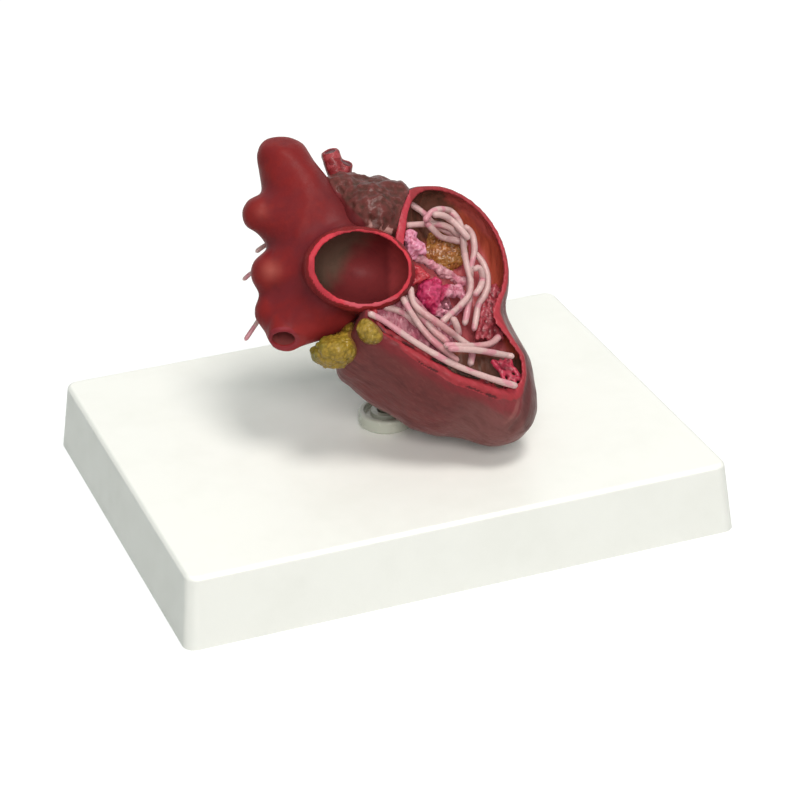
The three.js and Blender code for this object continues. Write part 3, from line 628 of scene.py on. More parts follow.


# Most paints darken what this finds hollow, as painted shade.
def hollowness(piece, rounds):
    """How hollow the surface is at each corner, from 0 on a ridge over 0.5 to 1 in a furrow."""
    mesh = piece.data
    ends = np.empty(len(mesh.edges) * 2, int)
    mesh.edges.foreach_get("vertices", ends)
    first, second = ends.reshape(-1, 2).T
    count = np.bincount(np.concatenate([first, second]), minlength=len(mesh.vertices))[:, None]
    spots = spots_of(piece)
    calm = spots.copy()
    for _ in range(rounds):
        total = np.zeros_like(calm)
        np.add.at(total, first, calm[second])
        np.add.at(total, second, calm[first])
        calm = total / np.maximum(count, 1)
    depth = ((calm - spots) * spots_of(piece, "normal")).sum(axis=1)
    return np.clip(0.5 + depth * 2.0, 0, 1)


def mark(piece, name, values):
    """Keeps a mask on the piece, for its paint."""
    layer = piece.data.attributes.new(name, "FLOAT", "POINT")
    layer.data.foreach_set("value", np.asarray(values, np.float32))


def mark_place(piece, name, vectors):
    """Keeps places on the piece, for patterns that run along its grain."""
    layer = piece.data.attributes.new(name, "FLOAT_VECTOR", "POINT")
    layer.data.foreach_set("vector", np.asarray(vectors, np.float32).ravel())


def hand_over(piece, node, material, body="heart", place=HEART):
    """The last steps for each piece: its place in the model, its paint, and what it stands for."""
    piece.data.transform(place)
    piece.data.shade_smooth()
    piece.data.materials.clear()
    piece.data.materials.append(material)
    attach(piece, body)
    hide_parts(*([node] if isinstance(node, str) else node))
    faces = sum(len(face.vertices) - 2 for face in piece.data.polygons)
    print(f"{piece.name}: {faces} triangles")


# %% [markdown]
# ## Skins that the castings are cut by
#
# The castings meet in narrow seams. Each one is cut by its neighbour's skin, drawn in by a hair, so that the two
# surfaces meet in a crease and nothing shows through the walls.

# %% Make the cutting skins
HAIR = 0.35
BLOCK_SIZE = 160
atrium_tool = skin("atrium_tool", [-15, -3, 7], atrium_form, 7, -HAIR)
ventricle_tool = skin("ventricle_tool", [15, 2, -8], ventricle_form, 7, -HAIR)
auricle_tool = skin("auricle_tool", [-2, 4, 20], auricle_form, 6, -HAIR)


def box(size, spot):
    """A box with its middle at the spot."""
    shape = bmesh.new()
    bmesh.ops.create_cube(shape, size=1)
    bmesh.ops.scale(shape, vec=size, verts=shape.verts)
    bmesh.ops.translate(shape, vec=spot, verts=shape.verts)
    return shape


def turned(shape, direction, spot=(0, 0, 0)):
    """A shape whose upright axis is tipped into a direction, then moved to a spot."""
    turn = Vector((0, 0, 1)).rotation_difference(Vector(direction)).to_matrix()
    bmesh.ops.rotate(shape, cent=(0, 0, 0), matrix=turn, verts=shape.verts)
    bmesh.ops.translate(shape, vec=spot, verts=shape.verts)
    return shape


def slab_tool(name, facing, distance):
    """All that lies in front of a plane, as a block."""
    block = box([BLOCK_SIZE] * 3, (0, 0, distance + BLOCK_SIZE / 2))
    return new_piece(name, turned(block, facing))


window_tool = slab_tool("window_tool", window_facing, VENTRICLE_WINDOW)
print("cutting skins are ready")


# %% [markdown]
# ## The cut ends of vessels
#
# Four vessels are cut off short: a vein under the atrium, two lung veins and the lung artery at the back. Each is a
# turned piece: a half outline is spun round its axis, then tipped into place. It could be drawn as a cylinder, but
# a spun outline gives the flare at the root and the rounded lip in one step.

# %% A spun outline
def spun(outline, steps=48):
    """A shape turned from a half outline of (radius, height) points round the Z axis."""
    shape = bmesh.new()
    corners = [shape.verts.new((radius, 0, height)) for radius, height in outline]
    edges = [shape.edges.new(pair) for pair in zip(corners, corners[1:])]
    bmesh.ops.spin(shape, geom=corners + edges, cent=(0, 0, 0), axis=(0, 0, 1), dvec=(0, 0, 0),
                   angle=2 * math.pi, steps=steps, use_merge=True)
    bmesh.ops.remove_doubles(shape, verts=shape.verts, dist=1e-5)
    bmesh.ops.recalc_face_normals(shape, faces=shape.faces)
    return shape


def vessel(name, face, inwards, radius, wall, length, depth):
    """The cone of a cut vessel and the bore in it, as two objects, with the lip at face."""
    lip = wall / 2
    cone = spun([(0, 0), (radius - lip, 0), (radius - lip * 0.3, lip * 0.3), (radius, lip),
                 (radius * 1.15, length), (0, length)])
    bore = spun([(0, -2), (radius - wall, -2), (radius - wall, depth - 1), (0, depth)])
    inwards = Vector(inwards).normalized()
    return [new_piece(f"{name}_{part}", turned(shape, inwards, face))
            for part, shape in (("cone", cone), ("bore", bore))]


def end_slab(name, face, inwards, radius):
    """The little that would stand out past a vessel's cut face."""
    block = box((3 * radius, 3 * radius, radius), (0, 0, -radius / 2))
    return new_piece(name, turned(block, Vector(inwards).normalized(), face))


def in_vessel(spots, face, inwards):
    """How far places lie into a vessel from its cut face, and how far from its axis."""
    away = spots - np.array(face)
    into = away @ unit(inwards)
    return into, np.linalg.norm(away - into[:, None] * unit(inwards), axis=1)


# %% [markdown]
# ## The right atrium
#
# The atrium is the smooth red part on the left, with rounded lobes and the oval window. Its room is an egg, cut open
# by a plane, and the window's rim stands up a little as a pink ridge. On the real model the paint is smooth and
# satin, and brown near the auricle. Painted shade darkens the valleys between the lobes and the room's left wall.
# Painted light brightens the underside, the crowns of two lobes, the room's maroon and its right side, and the
# vein's bore.

# %% Make the atrium
CAVA = {"face": (-28.3, -12.6, -14.2), "inwards": (0.03, 0.62, 0.78)}
CAVA_RADIUS, CAVA_WALL = 4.5, 1.4


def make_atrium():
    body = skin("atrium_wall", [-15, -3, 7], atrium_form, 7)
    hollow = skin("atrium_hollow", [-6, -15, 5.2], egg([-6, -15, 5.2], [14.3, 17, 10.8], -7), 6)
    front = slab_tool("atrium_front", (0, -1, 0), ATRIUM_WINDOW)
    cone, bore = vessel("cava", **CAVA, radius=CAVA_RADIUS, wall=CAVA_WALL, length=5, depth=7)
    past = end_slab("cava_end", **CAVA, radius=CAVA_RADIUS)
    carve(body, past)
    carve(body, cone, how="UNION")
    carve(body, bore, hollow, front)
    discard(hollow, front, cone, bore, past)
    remesh(body, 0.5, 3)
    spots = spots_of(body)
    depth = ATRIUM_WINDOW + spots[:, 1]
    room = atrial_room_form(spots - ROOM_SHIFT)
    inside = smoothstep(-room, 0.8, 1.2) * (spots[:, 1] > -ATRIUM_WINDOW - 1)
    beside = room + ATRIUM_WALL
    left_side = smoothstep(-spots[:, 0], 9, 17)
    below = smoothstep(-spots[:, 2], 0, 6)
    crest_width = 0.5 + 0.7 * left_side + 0.3 * below + 0.4 * cloud(spots, 3, 2, 7)
    face = smoothstep(-depth, -0.9, -0.2)
    rim = face * smoothstep(-beside, -crest_width - 0.25, -crest_width + 0.1) * smoothstep(beside, -0.6, -0.1)
    sunken = face * np.clip(beside - crest_width, 0, 2.5) * 0.45
    lumps = cloud(spots, 9) * 0.2 * (1 - inside) + cloud(spots, 2.2, 2) * 0.04
    push(body, lumps + rim * (0.12 + 0.15 * cloud(spots, 2.4, 2, 7)) - sunken)
    mark(body, "rim", rim * (1 - 0.6 * smoothstep(spots[:, 0], 6, 9)))
    mark(body, "pale_rim", rim * smoothstep(-spots[:, 2], 1, 5) * smoothstep(spots[:, 0], -14, -8))
    # The room is painted lighter than its maroon, as painted light, lit on the right and shadowed on the left.
    mark(body, "inside", inside * (1 - rim))
    upper_left = smoothstep(spots[:, 2] - 1.25 * spots[:, 0] + cloud(spots, 6, 2, 3) * 3, 13, 29)
    mark(body, "shadowed", upper_left * inside * (1 - rim))
    mark(body, "lit", smoothstep(spots[:, 0], -1.5, 5) * inside * (1 - rim))
    # Painted shade in the hollows, and painted light on the underside.
    mark(body, "hollow", hollowness(body, 14))
    mark(body, "under", smoothstep(-spots[:, 2] + 0.25 * spots[:, 0], 1, 10) * (1 - inside) * (1 - rim))
    # Painted highlights on the crowns of two lobes.
    highlight_distances = [np.linalg.norm(spots - np.array(spot), axis=1) for spot in ((-31.6, -12.5, 5.4), (-34, -10, 22))]
    mark(body, "crown_highlight", np.maximum(smoothstep(-highlight_distances[0], -5.5, 1.5), 0.5 * smoothstep(-highlight_distances[1], -5, 1.5)))
    brown = smoothstep(auricle_form(spots) * -1, -9, 0) * (1 - inside)
    mark(body, "brown", brown)
    # The vein's bore is painted lighter than it is, as painted light.
    into, aside = in_vessel(spots, **CAVA)
    mark(body, "vein_lip", smoothstep(-np.abs(aside - 3.9), -1.1, -0.4) * smoothstep(-np.abs(into), -1.5, -0.5))
    mark(body, "vein_bore", smoothstep(-aside, -3.6, -3.0) * smoothstep(into, 0.2, 1.2) * smoothstep(-into, -9, -8))
    return body


atrium = make_atrium()
atrium_paint = painted(
    "atrium_satin_red", (125, 33, 34), (106, 33, 38), (138, 38, 33), patch=13, amount=0.5,
    # Painted shade: hollows, room's left side. Painted light: underside, lobe crowns, room, its right side, vein bore.
    layers=[
        ("hollow", (94, 34, 42), (84, 34, 42), 0.15, 0.3, 0.55),
        ("brown", (106, 40, 43), (94, 38, 42), 0.4, 0.3, 0.75),
        ("under", (158, 50, 50), (142, 46, 48), 0.2, 0.4, 0.7),
        ("crown_highlight", (172, 88, 78), (156, 76, 68), 0.1, 0.6, 0.75),
        ("inside", (136, 54, 56), (124, 48, 52), 0.1, 0.1, 1.0),
        ("lit", (198, 84, 86), (166, 68, 72), 0.1, 0.3, 0.8),
        ("shadowed", (116, 96, 82), (98, 84, 70), 0.3, 0.45, 0.95),
        ("vein_bore", (140, 70, 68), (124, 60, 60), 0.2, 0.2, 1.0),
        ("vein_lip", (140, 50, 60), (122, 44, 54), 0.4, 0.2, 0.7),
        ("rim", (208, 62, 75), (164, 50, 60), 0.8, 0.15, 0.95),
        ("pale_rim", (190, 92, 104), (178, 70, 84), 0.7, 0.2, 0.6),
    ],
    rough=0.5, coat=0.0, grain=0.7, dent=6, dents=0.6, relief=0.12, shine=0.09)
hand_over(atrium, "atrium_casting", atrium_paint)

# %% [markdown]
# ## The ventricles
#
# The ventricles make the heart's big cone. The outside is rose-brown with long brush marks that run down to the tip,
# with painted shade in the groove, on the right side, in the hollows and along the seams with the atrium and the
# auricle. The front of the right one is cut away by a plane: what is left of the wall is a bright red rim, and behind
# it the wall is orange-brown and streaked. Inside, painted light makes the walls lighter than their own colour,
# brighter still near the opening and on the pinker back wall, and painted shade darkens them where they are deepest.
# A Boolean cut leaves that rim too sharp, so the remesh rounds it, and its lower part gets the double ridge of the
# real one, with painted shade in its furrow and in the slot under it.

# %% Make the ventricles
TIP = np.array([34, -3, -40])
VESSEL_LINE = [(37.2, -28.8), (37, -32.7), (36.1, -35.7), (33.9, -38.2), (31, -39.3)]
GROOVE_LINE = [(34.4, -7.4), (36.9, -14.4), (38.7, -20.5), (39.5, -27), (39.4, -32.7), (38.2, -37.1), (35.2, -40.6)]
GRAIN_ALONG = np.array([0.66, -0.05, -0.75])


def make_ventricle():
    body = skin("ventricle_wall", [15, 2, -8], ventricle_form, 7)
    chamber = skin("chamber_tool", [20, -8, -2], chamber_form, 6)
    carve(body, chamber, window_tool, atrium_tool)
    discard(chamber)
    remesh(body, 0.55, 2)
    spots = spots_of(body)
    under = -ventricle_form(spots)
    depth = behind_window(spots)
    wall = wall_at(spots)
    inside = smoothstep(under, wall * 0.55, wall * 0.85) * smoothstep(depth, 0.4, 1.2)
    rim = smoothstep(-depth, -1.0, -0.25) * smoothstep(under, -0.4, 0.25)
    low = smoothstep(-(spots[:, 2] + 0.55 * spots[:, 0]), -6, 6)
    furrow = smoothstep(-np.abs(under - 1.35), -0.55, -0.1) * rim * low
    streak_place = spots - (spots @ GRAIN_ALONG)[:, None] * GRAIN_ALONG * 0.86
    long_marks = cloud(streak_place, 2.6, 2, 3)
    walls = cloud(spots * np.array([1, 1, 0.22]), 1.7, 2, 11)
    outer = 1 - np.clip(inside + rim, 0, 1)
    heights = outer * (0.22 * cloud(spots, 8, 3, 2) + 0.07 * long_marks) + inside * 0.3 * walls
    slot_line = smoothstep(spots[:, 0], 12, 15) * smoothstep(-spots[:, 0], -29, -25)
    slot = rim * low * smoothstep(under, 1.1, 1.5) * slot_line
    band_ends = smoothstep(spots[:, 0], 2, 12) * smoothstep(-spots[:, 0], -33.5, -30)
    low_band = outer * low * smoothstep(-depth, -1.3, -0.8) * band_ends
    band_line = low * band_ends * smoothstep(-np.abs(depth - 0.7), -0.4, -0.1) * smoothstep(-np.abs(under), -0.7, -0.3)
    heights += rim * 0.16 * cloud(spots, 1.8, 2, 5) - furrow * 0.6 - slot * 0.8 + low_band * 0.2 - band_line * 0.35
    flat = spots * np.array([1, 0, 1])
    front = smoothstep(-spots[:, 1], 0, 4)
    vessel_line = nearness(flat, [(x, 0, z) for x, z in VESSEL_LINE], 0.8) * front * smoothstep(spots[:, 0], 31, 36)
    groove = nearness(flat, [(x, 0, z) for x, z in GROOVE_LINE], 1.2) * front
    heights += outer * (0.25 * vessel_line - 0.35 * groove * (1 - vessel_line))
    push(body, heights)
    plain_rim = rim * low * smoothstep(-under, -0.9, -0.3) * smoothstep(-spots[:, 0], -8, 0)
    mark(body, "rim", rim - plain_rim + low_band)
    # Painted shade in the furrow and along the band's line.
    mark(body, "furrow", np.clip((furrow + band_line) * (0.6 + 0.8 * cloud(spots, 3, 2, 9)), 0, 1))
    # The slot is painted dark, as painted shade.
    mark(body, "slot", slot)
    # The walls inside are painted lighter than their own colour, as painted light.
    mark(body, "inside", inside)
    # Painted light near the opening and on the back wall, painted shade where the chamber is deepest.
    upper_left = smoothstep(spots[:, 2] - 0.9 * spots[:, 0], -4, 8)
    lower = smoothstep(-spots[:, 2] - 0.1 * spots[:, 0], 13, 19)
    upper_right = smoothstep(spots[:, 2], 12, 17) * smoothstep(spots[:, 0], 13, 20)
    lit_inner_edge = np.maximum(smoothstep(-depth, -4.5, -0.8), upper_right * smoothstep(-depth, -8.5, -4)) * (1 - low)
    mark(body, "lit_inner_edge", inside * lit_inner_edge)
    mark(body, "deep", np.maximum(upper_left, lower) * inside * (1 - 0.8 * lit_inner_edge * upper_right))
    mark(body, "back", smoothstep(depth, 7.0, 11.0) * (1 - np.maximum(upper_left, lower)) * inside)
    mark(body, "near_rim", smoothstep(-depth, -5, -0.5) * (outer + plain_rim) * (0.2 + 0.8 * low))
    right_strip = smoothstep(spots[:, 0], 28, 31) * 0.5
    left_strip = smoothstep(-spots[:, 0], -9, -7) * smoothstep(spots[:, 2], 8, 12)
    mark(body, "bright", rim * np.max([left_strip, right_strip, low * 0.4], axis=0) * (1 - plain_rim))
    mark(body, "vessel", vessel_line * outer)
    # Painted shade in the groove, on the right side, in the hollows and along the seams.
    mark(body, "groove", groove * outer)
    mark(body, "right_side_shade", outer * front * smoothstep(spots[:, 0], 37.2, 40.5))
    mark(body, "hollow", hollowness(body, 10))
    mark(body, "tip", smoothstep(-np.linalg.norm(spots - TIP, axis=1), -26, -10) * outer)
    mark(body, "seam_shade", smoothstep(-np.minimum(atrium_form(spots), auricle_form(spots)), -3.2, -0.3) * outer)
    mark_place(body, "brushed", np.where(inside[:, None] > 0.5, spots * np.array([1, 1, 0.2]), streak_place) / 1000)
    return body


ventricle = make_ventricle()
ventricle_paint = painted(
    "ventricle_brushed_rose", (108, 50, 50), (90, 44, 44), (124, 62, 60), patch=3.4, amount=0.75,
    place="brushed",
    # Painted shade: hollows, seams, groove, right side, furrow, slot, deep chamber.
    layers=[
        # Painted light: the walls inside, lighter near the opening and on the back wall.
        ("hollow", (84, 42, 42), (76, 38, 40), 0.3, 0.25, 0.35),
        ("tip", (122, 78, 76), (106, 66, 62), 0.5, 0.4, 0.65),
        ("near_rim", (126, 38, 46), (108, 40, 44), 0.6, 0.35, 0.7),
        ("seam_shade", (92, 46, 46), (82, 42, 42), 0.5, 0.3, 0.6),
        ("groove", (84, 46, 44), (76, 42, 40), 0.3, 0.3, 0.4),
        ("right_side_shade", (84, 48, 48), (78, 44, 44), 0.4, 0.3, 0.75),
        ("vessel", (150, 96, 92), (130, 76, 74), 0.8, 0.35, 0.45),
        ("inside", (176, 80, 60), (148, 62, 50), 0.2, 0.2, 1.0),
        ("back", (192, 92, 100), (168, 72, 80), 0.5, 0.3, 0.85),
        ("lit_inner_edge", (178, 84, 84), (156, 70, 68), 0.5, 0.35, 0.7),
        ("deep", (104, 68, 56), (74, 56, 44), 0.6, 0.3, 0.95),
        ("rim", (156, 50, 57), (136, 46, 52), 0.35, 0.15, 0.95),
        ("bright", (190, 62, 76), (164, 48, 60), 0.5, 0.2, 0.85),
        ("furrow", (76, 30, 32), (66, 28, 30), 0.5, 0.2, 0.9),
        ("slot", (54, 44, 36), (46, 42, 34), 0.15, 0.15, 0.95),
    ],
    rough=0.45, coat=0.06, grain=0.6, dent=3, dents=0.5, relief=0.25)
hand_over(ventricle, "ventricle_casting", ventricle_paint)

# %% [markdown]
# ## The auricle
#
# The auricle is the dark, wrinkled ear between the two. Its surface is all rounded lumps and furrows. Soft noise
# gives the lumps, and noise that is folded over at zero gives the narrow ridges between them. Painted shade darkens
# the furrows, a barer band runs along the atrium, and small pale painted glints sit on the ridges at the foot.

# %% Make the auricle
def make_auricle():
    body = skin("auricle_folds", [-2, 4, 20], auricle_form, 7)
    carve(body, atrium_tool, ventricle_tool)
    remesh(body, 0.45, 1)
    spots = spots_of(body)
    free = smoothstep(off_castings(spots), -0.1, 1.5)
    across = spots[:, 2] + 1.32 * spots[:, 0] + 1.5 * cloud(spots, 4, 2, 13)
    lumpy = smoothstep(across, 9, 13)
    swell = cloud(spots, 6, 2, 4)
    ripple = 1 - 2.2 * np.abs(cloud(spots + 1.2 * swell[:, None], 4.4, 2, 8))
    push(body, free * lumpy * (0.9 * swell + 0.36 * ripple + 0.5 * cloud(spots, 2.6, 2, 2) - 0.15))
    # Painted shade in the furrows.
    mark(body, "hollow", hollowness(body, 8) * lumpy + 0.5 * (1 - lumpy))
    mark(body, "plain", 1 - lumpy)
    foot = smoothstep(-np.minimum(atrium_form(spots), 30), -5, -1) * smoothstep(spots[:, 0], -8, 0)
    # Small pale painted glints on the ridges at the foot.
    mark(body, "foot_glints", foot * smoothstep(ripple, 0.3, 0.7) * smoothstep(cloud(spots, 2.6, 2, 6), -0.15, 0.15))
    mark(body, "bare_edge", smoothstep(across, 10, 12.5) * smoothstep(-across, -17, -13))
    return body


auricle = make_auricle()
auricle_paint = painted(
    "auricle_dark_wash", (102, 50, 47), (72, 44, 38), (128, 72, 70), patch=4.4, amount=0.95,
    # Painted shade in the hollows, and painted glints at the foot.
    layers=[
        ("bare_edge", (114, 62, 58), (98, 54, 50), 0.6, 0.3, 0.6),
        ("hollow", (72, 44, 38), (62, 52, 40), 0.4, 0.3, 0.65),
        ("foot_glints", (196, 148, 142), (150, 92, 88), 0.5, 0.2, 0.75),
        ("plain", (110, 40, 43), (98, 38, 44), 0.4, 0.3, 0.95),
    ],
    rough=0.38, coat=0.05, grain=0.8, dent=2, dents=0.7, relief=0.05, shine=0.1)
hand_over(auricle, "auricle_casting", auricle_paint)

# %% [markdown]
# ## The aorta's branch, the left atrium and the lung artery
#
# Behind the auricle the aorta's arch rises with two cut stubs, glossy red, with painted pink highlights on their
# upper parts. The back of the heart is closed by the left atrium with two lung veins, and the lung artery opens on
# the left: the stray worms hang out of its mouth. Painted shade darkens the bores of these cut vessels, their hollows
# and the left atrium's seams with the castings.

# %% Make the arch
ARCH_ENDS = [((-14.8, 4.2, 40.2), (-0.3, -0.45, 1)), ((-9.8, 3.8, 36.8), (0.45, -0.4, 1))]


def make_arch():
    trunk = skin("aortic_branch", [-7, 10, 26], limb([-5, 12, 24], [-9, 8, 28.5], 5.6, 5.6), 5)
    for index, (middle, form) in enumerate([
        ([-12, 6, 31], limb([-9, 8, 28], [-12.6, 4.6, 32.4], 5, 3)),
        ([-14, 5, 36.5], within(0.7, limb([-12.4, 4.8, 32], [-14.6, 5, 39], 2.8, 2.7), beyond(*ARCH_ENDS[0]))),
        ([-11, 4.8, 34], within(0.7, limb([-12, 5, 31.6], [-10.2, 4.6, 36], 2.4, 2.1), beyond(*ARCH_ENDS[1]))),
    ]):
        part = skin(f"arch_part_{index}", middle, form, 5)
        carve(trunk, part, how="UNION")
        discard(part)
    carve(trunk, atrium_tool, ventricle_tool)
    remesh(trunk, 0.35, 6)
    spots = spots_of(trunk)
    # The stubs' bores are sunk a little and painted dark, as painted shade.
    bore = np.zeros(len(spots))
    for spot, _ in ARCH_ENDS:
        bore = np.maximum(bore, smoothstep(-np.linalg.norm(spots - np.array(spot), axis=1), -2, -1.3))
    push(trunk, 0.22 * cloud(spots, 2.6, 3, 2) - 0.5 * bore)
    mark(trunk, "bore", bore)
    # Painted shade in the hollows, and painted pink highlights on the upper parts.
    mark(trunk, "hollow", hollowness(trunk, 8))
    mark(trunk, "blush", smoothstep(spots[:, 2], 30, 38) * smoothstep(cloud(spots, 2.2, 2, 8), -0.1, 0.3))
    mark(trunk, "foot", smoothstep(-spots[:, 2], -31, -25))
    return trunk


arch = make_arch()
arch_paint = painted(
    "arch_glossy_red", (136, 38, 42), (108, 36, 40), (166, 62, 66), patch=3, amount=0.7,
    # Painted shade: hollows and bores. Painted pink highlights: the upper parts.
    layers=[
        ("hollow", (92, 34, 38), (78, 34, 36), 0.3, 0.25, 0.7),
        ("foot", (108, 52, 50), (88, 48, 44), 0.5, 0.3, 0.8),
        ("blush", (196, 92, 98), (172, 58, 66), 0.5, 0.25, 0.45),
        ("bore", (84, 32, 38), (70, 28, 34), 0.3, 0.2, 0.9),
    ],
    rough=0.36, coat=0.12, grain=0.4, dent=2, dents=0.5, relief=0.15)
hand_over(arch, "aortic_arch", arch_paint)


# %% Make the left atrium and the lung artery
def make_left_atrium():
    body = skin("back_atrium", [-10, 14, 4], left_atrium_form, 6)
    ends = [{"face": (-24, 22, 13), "inwards": (0.7, -0.5, -0.5)}, {"face": (-7, 28, 13.5), "inwards": (0, -0.8, -0.6)}]
    bores = []
    for index, end in enumerate(ends):
        cone, bore = vessel(f"lung_vein_{index}", **end, radius=4.2, wall=1.2, length=9, depth=6)
        past = end_slab(f"lung_vein_end_{index}", **end, radius=4.2)
        carve(body, past)
        carve(body, cone, how="UNION")
        discard(cone, past)
        bores.append(bore)
    carve(body, *bores, atrium_tool, ventricle_tool, auricle_tool)
    discard(*bores)
    remesh(body, 0.5, 3)
    spots = spots_of(body)
    push(body, 0.3 * cloud(spots, 7, 3, 4) + 0.08 * cloud(spots, 1.8, 2, 5))
    # Painted shade in the hollows, in the veins' bores and along the seams with the castings.
    mark(body, "hollow", hollowness(body, 10))
    bore_mask = np.zeros(len(spots))
    for end in ends:
        into, aside = in_vessel(spots, **end)
        bore_mask = np.maximum(bore_mask, smoothstep(-aside, -3.3, -2.8) * (into < 7) * (into > -1.5))
    mark(body, "bore", bore_mask)
    mark(body, "seam_shade", smoothstep(-off_castings(spots), -2.5, -0.2))
    return body


def make_artery():
    end = {"face": (-33, 10, 4), "inwards": (1, -0.3, -0.2)}
    cone, bore = vessel("lung_artery", **end, radius=5.4, wall=1.6, length=17, depth=9)
    carve(cone, bore, atrium_tool, ventricle_tool)
    discard(bore)
    cone.name = "lung_artery"
    remesh(cone, 0.4, 2)
    spots = spots_of(cone)
    push(cone, 0.18 * cloud(spots, 3, 3, 2))
    # The bore is painted near black, as painted shade.
    into, aside = in_vessel(spots, **end)
    mark(cone, "bore", smoothstep(-aside, -4.4, -3.7) * smoothstep(into, 0.1, 1.2) * (into < 10))
    mark(cone, "lip", smoothstep(-into, -1.2, -0.2))
    return cone


lung_artery = make_artery()
back_atrium = make_left_atrium()
# Both paints darken the bores, and the back atrium's hollows and seams, as painted shade.
artery_paint = painted(
    "lung_artery_plum", (112, 56, 68), (86, 46, 60), (138, 74, 84), patch=4, amount=0.7,
    layers=[("lip", (150, 74, 84), (124, 58, 68), 0.5, 0.25, 0.7),
            ("bore", (60, 28, 34), (44, 24, 28), 0.2, 0.25, 1.0)],
    rough=0.36, coat=0.35, relief=0.2)
back_paint = painted(
    "back_atrium_red", (124, 46, 48), (96, 42, 44), (144, 58, 54), patch=7, amount=0.7,
    layers=[
        ("hollow", (86, 34, 38), (74, 34, 36), 0.2, 0.3, 0.5),
        ("seam_shade", (90, 42, 42), (78, 42, 40), 0.5, 0.3, 0.6),
        ("bore", (66, 28, 32), (48, 24, 28), 0.2, 0.2, 1.0),
    ],
    rough=0.42, coat=0.2, dent=5, relief=0.2)
hand_over(lung_artery, "pulmonary_artery", artery_paint)
hand_over(back_atrium, "left_atrium_casting", back_paint)

# %% [markdown]
# ## Fat
#
# Two lumps of yellow fat lie in the groove under the atrium. They are grainy and ochre, greener at their left ends,
# where painted shade darkens them too, with painted shade in their hollows, and they look a little wet. Two sizes of
# cell noise give small lumps on large ones.

# %% Make the fat pads
def make_fat(name, middle, form):
    body = skin(name, middle, form, 6)
    carve(body, atrium_tool, ventricle_tool)
    remesh(body, 0.35, 2)
    spots = spots_of(body)
    free = smoothstep(off_castings(spots), -0.2, 1.0)
    lumps = cloud(spots, 3.2, 2, 2)
    crumbs = pebbles(spots + 0.5 * lumps[:, None], 1.5, 6) - 0.5
    push(body, free * (0.7 * lumps + 0.4 * crumbs))
    # A greener tint with painted shade on the left end, and painted shade in the hollows.
    mark(body, "green", smoothstep(-spots[:, 0] + 0.3 * spots[:, 2] + 2 * lumps, 10, 15))
    mark(body, "hollow", hollowness(body, 8))
    mark(body, "edge", smoothstep(-off_castings(spots), -1.4, 0.0))
    return body


fat_paint = painted(
    "fat_ochre", (154, 124, 44), (134, 112, 36), (184, 152, 62), patch=1.8, amount=0.8,
    # Painted shade: the greener left end and the hollows.
    layers=[
        ("green", (124, 116, 42), (106, 104, 38), 0.5, 0.4, 0.8),
        ("hollow", (124, 100, 34), (108, 96, 30), 0.25, 0.25, 0.7),
        ("edge", (116, 72, 44), (104, 66, 40), 0.6, 0.3, 0.7),
    ],
    rough=0.38, coat=0.2, grain=0.4, dent=1.2, dents=0.6, relief=0.25)
large_form = blend(2, egg([-13.2, -13.6, -17.6], [7.4, 9.6, 4.6], 12), egg([-9.6, -10, -13.8], [2.8, 7, 4.2]))
small_form = blend(4, egg([-4.9, -20.6, -11.4], [2.5, 5, 2.9]), egg([-2.7, -21, -13.6], [3.1, 5, 2.6]))
hand_over(make_fat("large_fat", (-13, -12, -17.4), large_form), "fat_pad_large", fat_paint)
hand_over(make_fat("small_fat", (-3.6, -20, -12.5), small_form), "fat_pad_small", fat_paint)

# %% [markdown]
# ## Strings and threads
#
# Muscle cords, torn threads and worms are all round strings. Each is a curve with a round bevel and its own radius
# at each place, made into a mesh. A skin round a row of balls would do it too, but the curve keeps an even grain.

# %% Threads as tubes
def tube(name, places, radii):
    """A round tube along places, with its own radius at each."""
    line = bpy.data.curves.new(name, "CURVE")
    line.dimensions = "3D"
    line.bevel_depth = 1
    line.bevel_resolution = 3
    line.use_fill_caps = True
    strip = line.splines.new("POLY")
    strip.points.add(len(places) - 1)
    strip.points.foreach_set("co", np.column_stack([places, np.ones(len(places))]).ravel())
    strip.points.foreach_set("radius", radii)
    holder = linked(name, line)
    mesh = as_shown(holder)
    bpy.data.objects.remove(holder)
    bpy.data.curves.remove(line)
    return linked(name, mesh)


def merged(name, pieces):
    """Several meshes as one piece."""
    whole = bmesh.new()
    for piece in pieces:
        whole.from_mesh(piece.data)
    discard(*pieces)
    return new_piece(name, whole)


# %% [markdown]
# ## What grows in the chamber
#
# Behind the worms there is an amber patch with gold glints, the magenta papillary muscle, a pale band across the
# back wall, pink knots under the upper rim and a red fork beside the atrium. Each is one of the soft forms, with
# its own lumps: fat knots for the valve, fine beads for the amber, and folds for the muscle.

